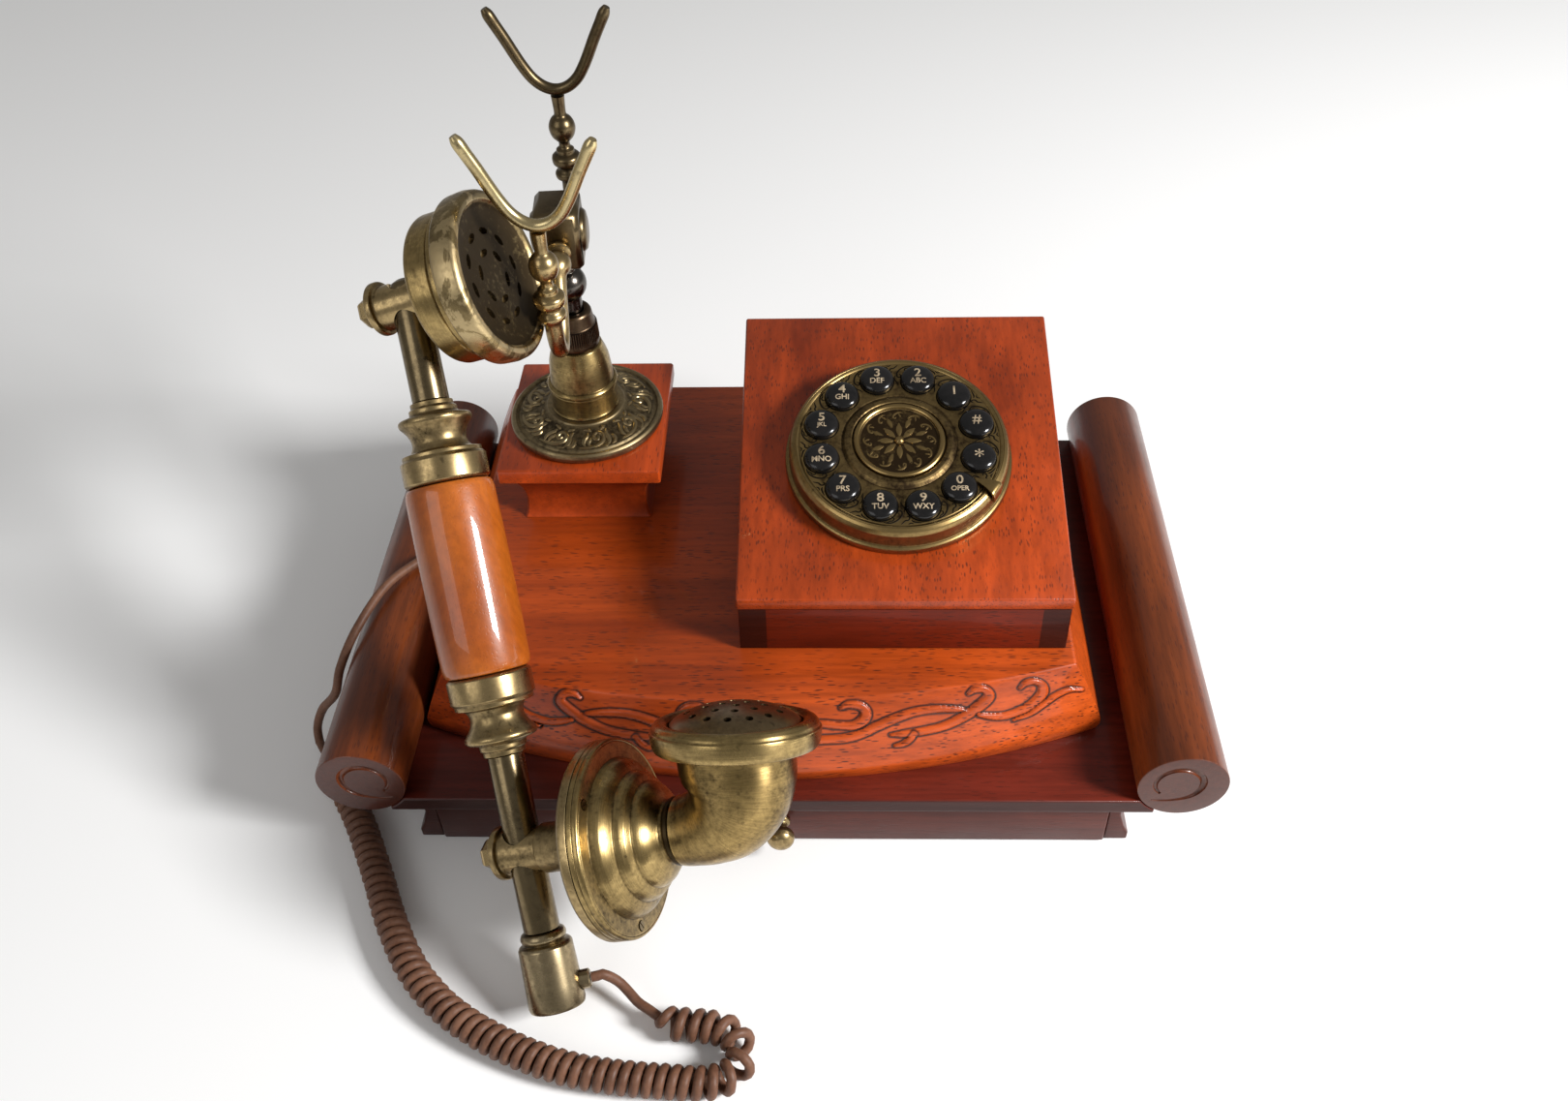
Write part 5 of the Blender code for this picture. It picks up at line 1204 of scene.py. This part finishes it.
def makeCradle():
    c = cradle
    rows = [(0, c["stemTop"] - c["rodLow"]), (c["stem"], c["stemTop"] - c["rodLow"])]
    for i in range(c["ballSteps"] + 1):
        angle = math.radians(c["ballFrom"] - c["ballTurn"] * i / c["ballSteps"])
        rows.append((c["ball"] * math.cos(angle), c["ballZ"] - c["rodLow"] + c["ball"] * math.sin(angle)))
    rows += [(c["rod"], c["ballZ"] - c["rodLow"] - c["ball"]), (c["rod"], 0), (0, 0)]
    addPiece("plunger_look", lathe("plunger_look", rows, placed((column["x"], column["y"], c["rodLow"])), 64, 0.0001),
             ballMetal, "cradle", ["cradle_plunger"])
    dressCopy("cradle_block", darkBrassAndRearShade, "cradle", 0.0005)
    # the rear arm and fork are the same brass as in front, painted dark: painted shade and a painted dark reflection
    for side, word, armBrass, forkBrass in ((-1, "front", oldBrass, paleBrass), (1, "rear", darkBrassAndRearShade, darkBrassAndRearShade)):
        line = [(*onCradle(0, side * c["armReach"] * forward, c["dip"] + c["armHeight"] * height), size * c["armBall"])
                for forward, height, size in armShape]
        foot = c["dip"] + c["armHeight"] * armShape[-1][1]
        line += [(*onCradle(0, side * c["armReach"], foot + c["postHeight"] * height), size * c["armBall"])
                 for height, size in postShape]
        addPiece("arm_%s_look" % word, sweep("arm_look", smoothLine(line, 3), 28), armBrass, "cradle",
                 ["cradle_arm_" + word])
        turn, top, fork = math.radians(c["forkTurns"][side]), line[-1], []
        for i, (across, up) in enumerate(forkShape):
            reach = c["forkSpread"] / 2 * across
            wire = c["forkWire"] * (c["forkTip"] if i in (0, len(forkShape) - 1) else 1.0)
            fork.append((top[0] + reach * math.cos(turn), top[1] + reach * math.sin(turn),
                         top[2] + gap + c["forkWire"] + c["forkHeight"] * up, wire))
        addPiece("fork_%s_look" % word, sweep("fork_look", smoothLine(fork, 4), 20), forkBrass, "cradle",
                 ["cradle_fork_" + word])


makeCradle()
print("column and cradle made")


# handset: turned profiles in shares of their radius and length
ferruleShares = [
    (0, 1), (0.93, 1), (1.0, 0.965), (1.0, 0.7), (0.93, 0.665), (0.93, 0.615), (0.72, 0.59), (0.665, 0.545),
    (0.635, 0.5), (0.635, 0.455), (0.66, 0.4), (0.715, 0.345), (0.78, 0.3), (0.84, 0.265), (0.86, 0.235), (0.85, 0.2),
    (0.8, 0.18), (0.6, 0.155), (0.565, 0.14), (0.56, 0.12), (0.56, 0.08), (0.5, 0.06), (0.5, 0), (0, 0)]
socketShares = [
    (0, 1), (0.68, 1), (0.76, 0.985), (0.8, 0.945), (0.8, 0.915), (0.76, 0.88), (0.7, 0.865), (0.74, 0.85),
    (0.9, 0.835), (0.95, 0.8), (0.965, 0.6), (0.985, 0.3), (1.0, 0.05), (0.965, 0.0), (0, 0)]
gripShares = [
    (0, 1), (0.89, 1), (0.94, 0.995), (0.975, 0.98), (1.0, 0.95), (1.012, 0.75), (1.015, 0.5), (1.012, 0.25),
    (1.0, 0.05), (0.975, 0.02), (0.94, 0.005), (0.89, 0), (0, 0)]
cupShares = [
    (0, 0.34), (0.78, 0.36), (0.85, 0.46), (0.85, 1), (0.985, 1), (1.0, 0.985), (1.0, 0.88), (0.93, 0.84),
    (0.93, 0.8), (0.952, 0.77), (0.952, 0.3), (0.935, 0.23), (0.9, 0.18), (0.8, 0.12), (0.34, 0.08), (0.31, 0.0),
    (0, 0)]
earShares = [
    (0, 0.66), (0.62, 0.68), (0.72, 0.73), (0.8, 0.82), (0.845, 0.93), (0.87, 1.0), (0.93, 1.0), (0.965, 0.94),
    (0.985, 0.86), (1.0, 0.6), (0.995, 0.3), (0.99, 0.1), (0.965, 0), (0, 0)]
backShares = [
    (0, 1), (1, 1), (1, 0.9), (0.965, 0.85), (0.88, 0.815), (0.78, 0.78), (0.62, 0.72), (0.46, 0.64), (0.37, 0.56),
    (0.31, 0.46), (0.27, 0.34), (0.255, 0.22), (0.255, 0), (0, 0)]
frontShares = [
    (0, 1), (0.32, 1), (0.34, 0.975), (0.34, 0.93), (0.315, 0.9), (0.315, 0.85), (0.34, 0.83), (0.39, 0.805),
    (0.44, 0.765), (0.49, 0.705), (0.515, 0.655), (0.525, 0.62), (0.525, 0.59), (0.55, 0.578), (0.595, 0.545),
    (0.628, 0.49), (0.645, 0.43), (0.645, 0.405), (0.67, 0.392), (0.72, 0.355), (0.765, 0.295), (0.79, 0.23),
    (0.8, 0.165), (0.955, 0.165), (0.965, 0.155), (0.97, 0.165), (0.99, 0.155), (1.0, 0.13), (1.0, 0.085),
    (0.99, 0.075), (1.0, 0.065), (1.0, 0), (0.93, 0), (0.93, 0.085), (0.66, 0.12), (0.48, 0.4), (0, 0.46)]
domeShares = [
    (0, 1), (0.15, 0.988), (0.3, 0.955), (0.45, 0.895), (0.58, 0.815), (0.7, 0.715), (0.8, 0.6), (0.88, 0.49),
    (0.93, 0.4), (0.97, 0.3), (1.0, 0.22), (1.0, 0), (0, 0)]
hornShape = [
    (0.0, 0.0, 0.0), (0.16, 0.0, 0.06), (0.42, 0.04, 0.22), (0.68, 0.15, 0.46), (0.87, 0.37, 0.7), (0.95, 0.62, 0.88)]
receiver = {
    "slots": ((10, 0.015, 0.1), (6, 0.0082, 0.5)), "slotRadius": 0.0012, "slotLong": 0.006, "slotHeight": 0.007,
    "slotStretch": 2.2, "cupRadius": 0.0264, "cupLength": 0.0148, "earRadius": 0.0286, "earLength": 0.0092,
    "sleeveFront": 0.012, "sleeveBack": 0.0125}
mike = {
    "radius": 0.033, "backLength": 0.0267, "frontLength": 0.024, "sleeveFront": 0.008, "sleeveBack": 0.0095,
    "hornStart": 0.0114, "hornReach": 0.0245, "hornRise": 0.0245, "tilt": 10.0, "hornEnd": 0.0198, "neck": 0.14,
    "rimLength": 0.0078, "domeRadius": 0.0212, "domeHeight": 0.008, "domeSeat": 0.72, "holeRadius": 0.00125,
    "holeLong": 0.0044, "holes": ((14, 0.72, 0.42, 0.0), (9, 0.45, 0.25, 0.2), (4, 0.19, 0.1, 0.5)), "screwTurn": 54,
    "screwReach": 0.0291, "screwRadius": 0.00165, "screwRise": 0.0009, "screwSlot": 0.00042, "seatRadius": 0.0019,
    "seatLong": 0.0012, "rimRows": [(0.0219, 1.02), (0.0232, 1.12), (0.0246, 1.14), (0.0259, 1.07), (0.0268, 0.93),
    (0.0271, 0.8), (0.0276, 0.74), (0.0276, 0.6), (0.0274, 0.36), (0.027, 0.12), (0.0263, -0.04), (0.025, -0.1),
    (0.0226, -0.12), (0.0214, -0.1), (0.0207, -0.02), (0.0193, 0), (0.004, 0), (0.004, 0.72)]}
sleeve = {
    "washer": 0.0024, "bore": 0.0065, "boreLong": 0.045, "boreDown": 0.0222, "nutOut": 0.007, "nut": [(0, 0.0073),
    (0.0054, 0.0073), (0.0054, 0.0026), (0.0045, 0.0013), (0.0025, 0.0002), (0, 0)]}


def makeHandle():
    h = handset

    # one turned part of the handle; gives back where the next one starts
    def turned(name, node, shares, radius, start, length, material):
        mesh = lathe(name, scaled(shares, radius, length), alongPlace(start))
        addPiece(name, mesh, material, "handset", [node])
        return start + length + gap

    mesh = lathe("socket_look", scaled(socketShares, h["socketRadius"], h["socketLength"]), alongPlace(0))
    pocket = rod("pocket", h["pocketRadius"], h["pocketLong"],
                 placed(onHandset(h["bushHeight"]) + bushWay * h["pocketOut"], bushWay), 32)
    addPiece("socket_look", cut(mesh, [pocket]), socketMetal, "handset", ["handset_socket"])
    start = h["socketLength"] + gap
    plain = [(0, 1), (1, 1), (1, 0), (0, 0)]
    turned("lower_tube_look", "lower_tube", plain, h["tube"], start, h["lowerFerrule"] - gap - start, tubeMetal)
    start = turned("lower_ferrule_look", "lower_ferrule", ferruleShares, h["ferruleRadius"], h["lowerFerrule"],
                   h["ferruleLength"], oldBrass)
    start = turned("grip_look", "handset_grip", gripShares, h["gripRadius"], start, h["gripLength"], gripWood)
    flipped = [(r, 1 - v) for r, v in reversed(ferruleShares)]
    start = turned("upper_ferrule_look", "upper_ferrule", flipped, h["ferruleRadius"], start, h["ferruleLength"],
                   oldBrass)
    cap = [(0, 1), (0.5, 0.985), (0.85, 0.955), (0.97, 0.925), (1, 0.89), (1, 0), (0, 0)]
    turned("upper_tube_look", "upper_tube", cap, h["tube"], start, h["upperCross"] + h["tubeBeyond"] - start,
           tubeMetal)
    for name, height, part in (("lower_sleeve", h["lowerCross"], mike), ("upper_sleeve", h["upperCross"], receiver)):
        back, length, washer = part["sleeveBack"], part["sleeveBack"] + part["sleeveFront"], sleeve["washer"]
        rows = [(0, length), (0.007, length), (0.0074, length * 0.97), (0.0074, washer * 1.3), (0.0078, washer * 1.1),
                (0.009, washer), (0.0092, washer * 0.8), (0.0092, 0.0004), (0.0087, 0), (0, 0)]
        mesh = lathe(name, rows, earPlace(height, -back), corner=0.0002)
        nut = lathe("nut", sleeve["nut"], earPlace(height, -back - sleeve["nutOut"]), 6, 0.0002)
        bore = rod("bore", sleeve["bore"], sleeve["boreLong"], alongPlace(height - sleeve["boreDown"]), 64)
        addPiece(name + "_look", cut(cut(mesh, [nut], 'UNION'), [bore]), oldBrass, "handset", [name])


def makeReceiver():
    r = receiver
    place = earPlace(handset["upperCross"], r["sleeveFront"] + gap)
    addPiece("cup_look", lathe("cup", scaled(cupShares, r["cupRadius"], r["cupLength"]), place, 144), brushedBrass,
             "handset", ["receiver_cup"])
    place = earPlace(handset["upperCross"], r["sleeveFront"] + r["cupLength"] + 2 * gap)
    mesh = lathe("ear", scaled(earShares, r["earRadius"], r["earLength"]), place, 144)
    slots = [pegRing(count, start, 16, r["slotRadius"], r["slotLong"], reach, r["slotHeight"], place,
                     stretch=r["slotStretch"]) for count, reach, start in r["slots"]]
    axis = place.to_3x3() @ Vector((0, 0, 1))

    def face(spot):  # the ear's hollow face stays dark
        reach, up = offAxis(spot, place.translation, axis)
        return -0.5 if up > 0.0056 and reach < 0.0238 else 0.0

    addPiece("ear_look", cut(mesh, slots), wornBrass, "handset", ["ear_cap"], shade=face)


def makeTransmitter():
    m = mike
    start = m["sleeveFront"] + gap
    place = earPlace(handset["lowerCross"], start)
    addPiece("mike_back_look", lathe("b", scaled(backShares, m["radius"], m["backLength"]), place, 144), oldBrass,
             "handset", ["transmitter_back"])
    start += m["backLength"] + gap
    place = earPlace(handset["lowerCross"], start)
    axis = place.to_3x3() @ Vector((0, 0, 1))

    def neck(spot):  # a dark ring where the horn joins
        return -0.55 if (spot - place.translation).dot(axis) / m["frontLength"] > 0.915 else 0.0

    mesh = lathe("f", scaled(frontShares, m["radius"], m["frontLength"]), place, 168)
    screwStart, screwHeight = math.radians(m["screwTurn"]), 0.165 * m["frontLength"]
    seats = pegRing(3, screwStart, 28, m["seatRadius"], m["seatLong"], m["screwReach"], screwHeight, place)
    addPiece("mike_front_look", cut(mesh, [seats]), brushedBrass, "handset", ["transmitter_front"], shade=neck)
    heads = grown(screws, {
        "Count": 3, "Start": screwStart, "Radius": m["screwRadius"], "Rise": m["screwRise"], "Slot": m["screwSlot"],
        "Turn": 0.7, "Reach": m["screwReach"], "Height": screwHeight - 0.00015}, place)
    addPiece("mike_screws", heads, tubeMetal, "handset", finish="transmitter_front")
    start += m["frontLength"] + gap
    grow = m["hornEnd"] / m["hornStart"] - 1
    way = spun(alongWay, earWay, m["tilt"])
    line = [(*onHandset(handset["lowerCross"] + m["hornRise"] * up, start + m["hornReach"] * out),
             m["hornStart"] * (1 + grow * swell)) for out, up, swell in hornShape]
    end = onHandset(handset["lowerCross"] + m["hornRise"], start + m["hornReach"])
    line.append((*(end - way * (m["hornRise"] * m["neck"])), m["hornStart"] * (1 + grow * (1 - m["neck"] / 2))))
    line.append((*end, m["hornEnd"]))
    addPiece("horn_look", sweep("horn", smoothLine(line, 8), 96), hornBrass, "handset", ["horn"])
    seat = m["domeRadius"] + gap
    rows = [(seat, 0.88), *m["rimRows"], (seat, m["domeSeat"])]
    mesh = lathe("rim", [(r, v * m["rimLength"]) for r, v in rows], placed(end + way * gap, way, earWay), 128,
                 closed=True)
    addPiece("rim_look", mesh, brushedBrass, "handset", ["mouth_rim"])
    place = placed(end + way * (2 * gap + m["rimLength"] * m["domeSeat"]), way, earWay)
    mesh = lathe("dome", scaled(domeShares, m["domeRadius"], m["domeHeight"]), place, 120)
    reach, rise = zip(*domeShares[:11])  # the rounded top alone
    holes = []
    for count, share, lean, start in m["holes"]:
        height = float(np.interp(share, reach, rise)) * m["domeHeight"]
        holes.append(pegRing(count, start, 20, m["holeRadius"], m["holeLong"], share * m["domeRadius"], height, place,
                             lean=lean))
    addPiece("dome_look", cut(mesh, holes), bronze, "handset", ["mouth_dome"])


makeHandle()
makeReceiver()
makeTransmitter()
print("handset made")

# finishes on the CAD pieces that stay
stay = {"deck_cord_bush": socketBlack, "handset_cord_bush": socketMetal, "key_board": boardGreen}
for name, material in stay.items():
    for place in nodes[name].material_slots:
        place.material = material


# floor, lamps, world; each lamp is (place, size, power)
stage = {
    "floorRadius": 4.0, "floorDown": 0.0002, "room": (1.0, 0.985, 0.97, 1), "roomPower": 0.28, "aim": (0, 0, 0.08),
    "lamps": {"keyLamp": ((1.12, -0.52, 0.84), 0.34, 32.0), "fillLamp": ((-0.9, -0.9, 0.9), 0.8, 3.5)}}


def makeStage():
    work = bmesh.new()
    bmesh.ops.create_circle(work, cap_ends=True, segments=96, radius=stage["floorRadius"])
    floor = linked("floor", meshFrom(work, "floor"))
    floor.location.z = -stage["floorDown"]
    made, shader = nodeMaker("paleFloor")[:2]
    feed(shader, {"Base Color": (0.95, 0.95, 0.945, 1), "Roughness": 0.9, "Specular IOR Level": 0.1})
    floor.data.materials.append(made)
    world = bpy.data.worlds.new("softRoom")
    world.use_nodes = True
    feed(world.node_tree.nodes["Background"], {"Color": stage["room"], "Strength": stage["roomPower"]})
    scene.world = world
    for name, (spot, size, power) in stage["lamps"].items():
        data = bpy.data.lights.new(name, 'AREA')
        data.size = size
        data.energy = power
        linked(name, data).matrix_world = placed(spot, Vector(spot) - Vector(stage["aim"]))
    scene.view_settings.view_transform = 'Standard'


makeStage()
print("stage set")
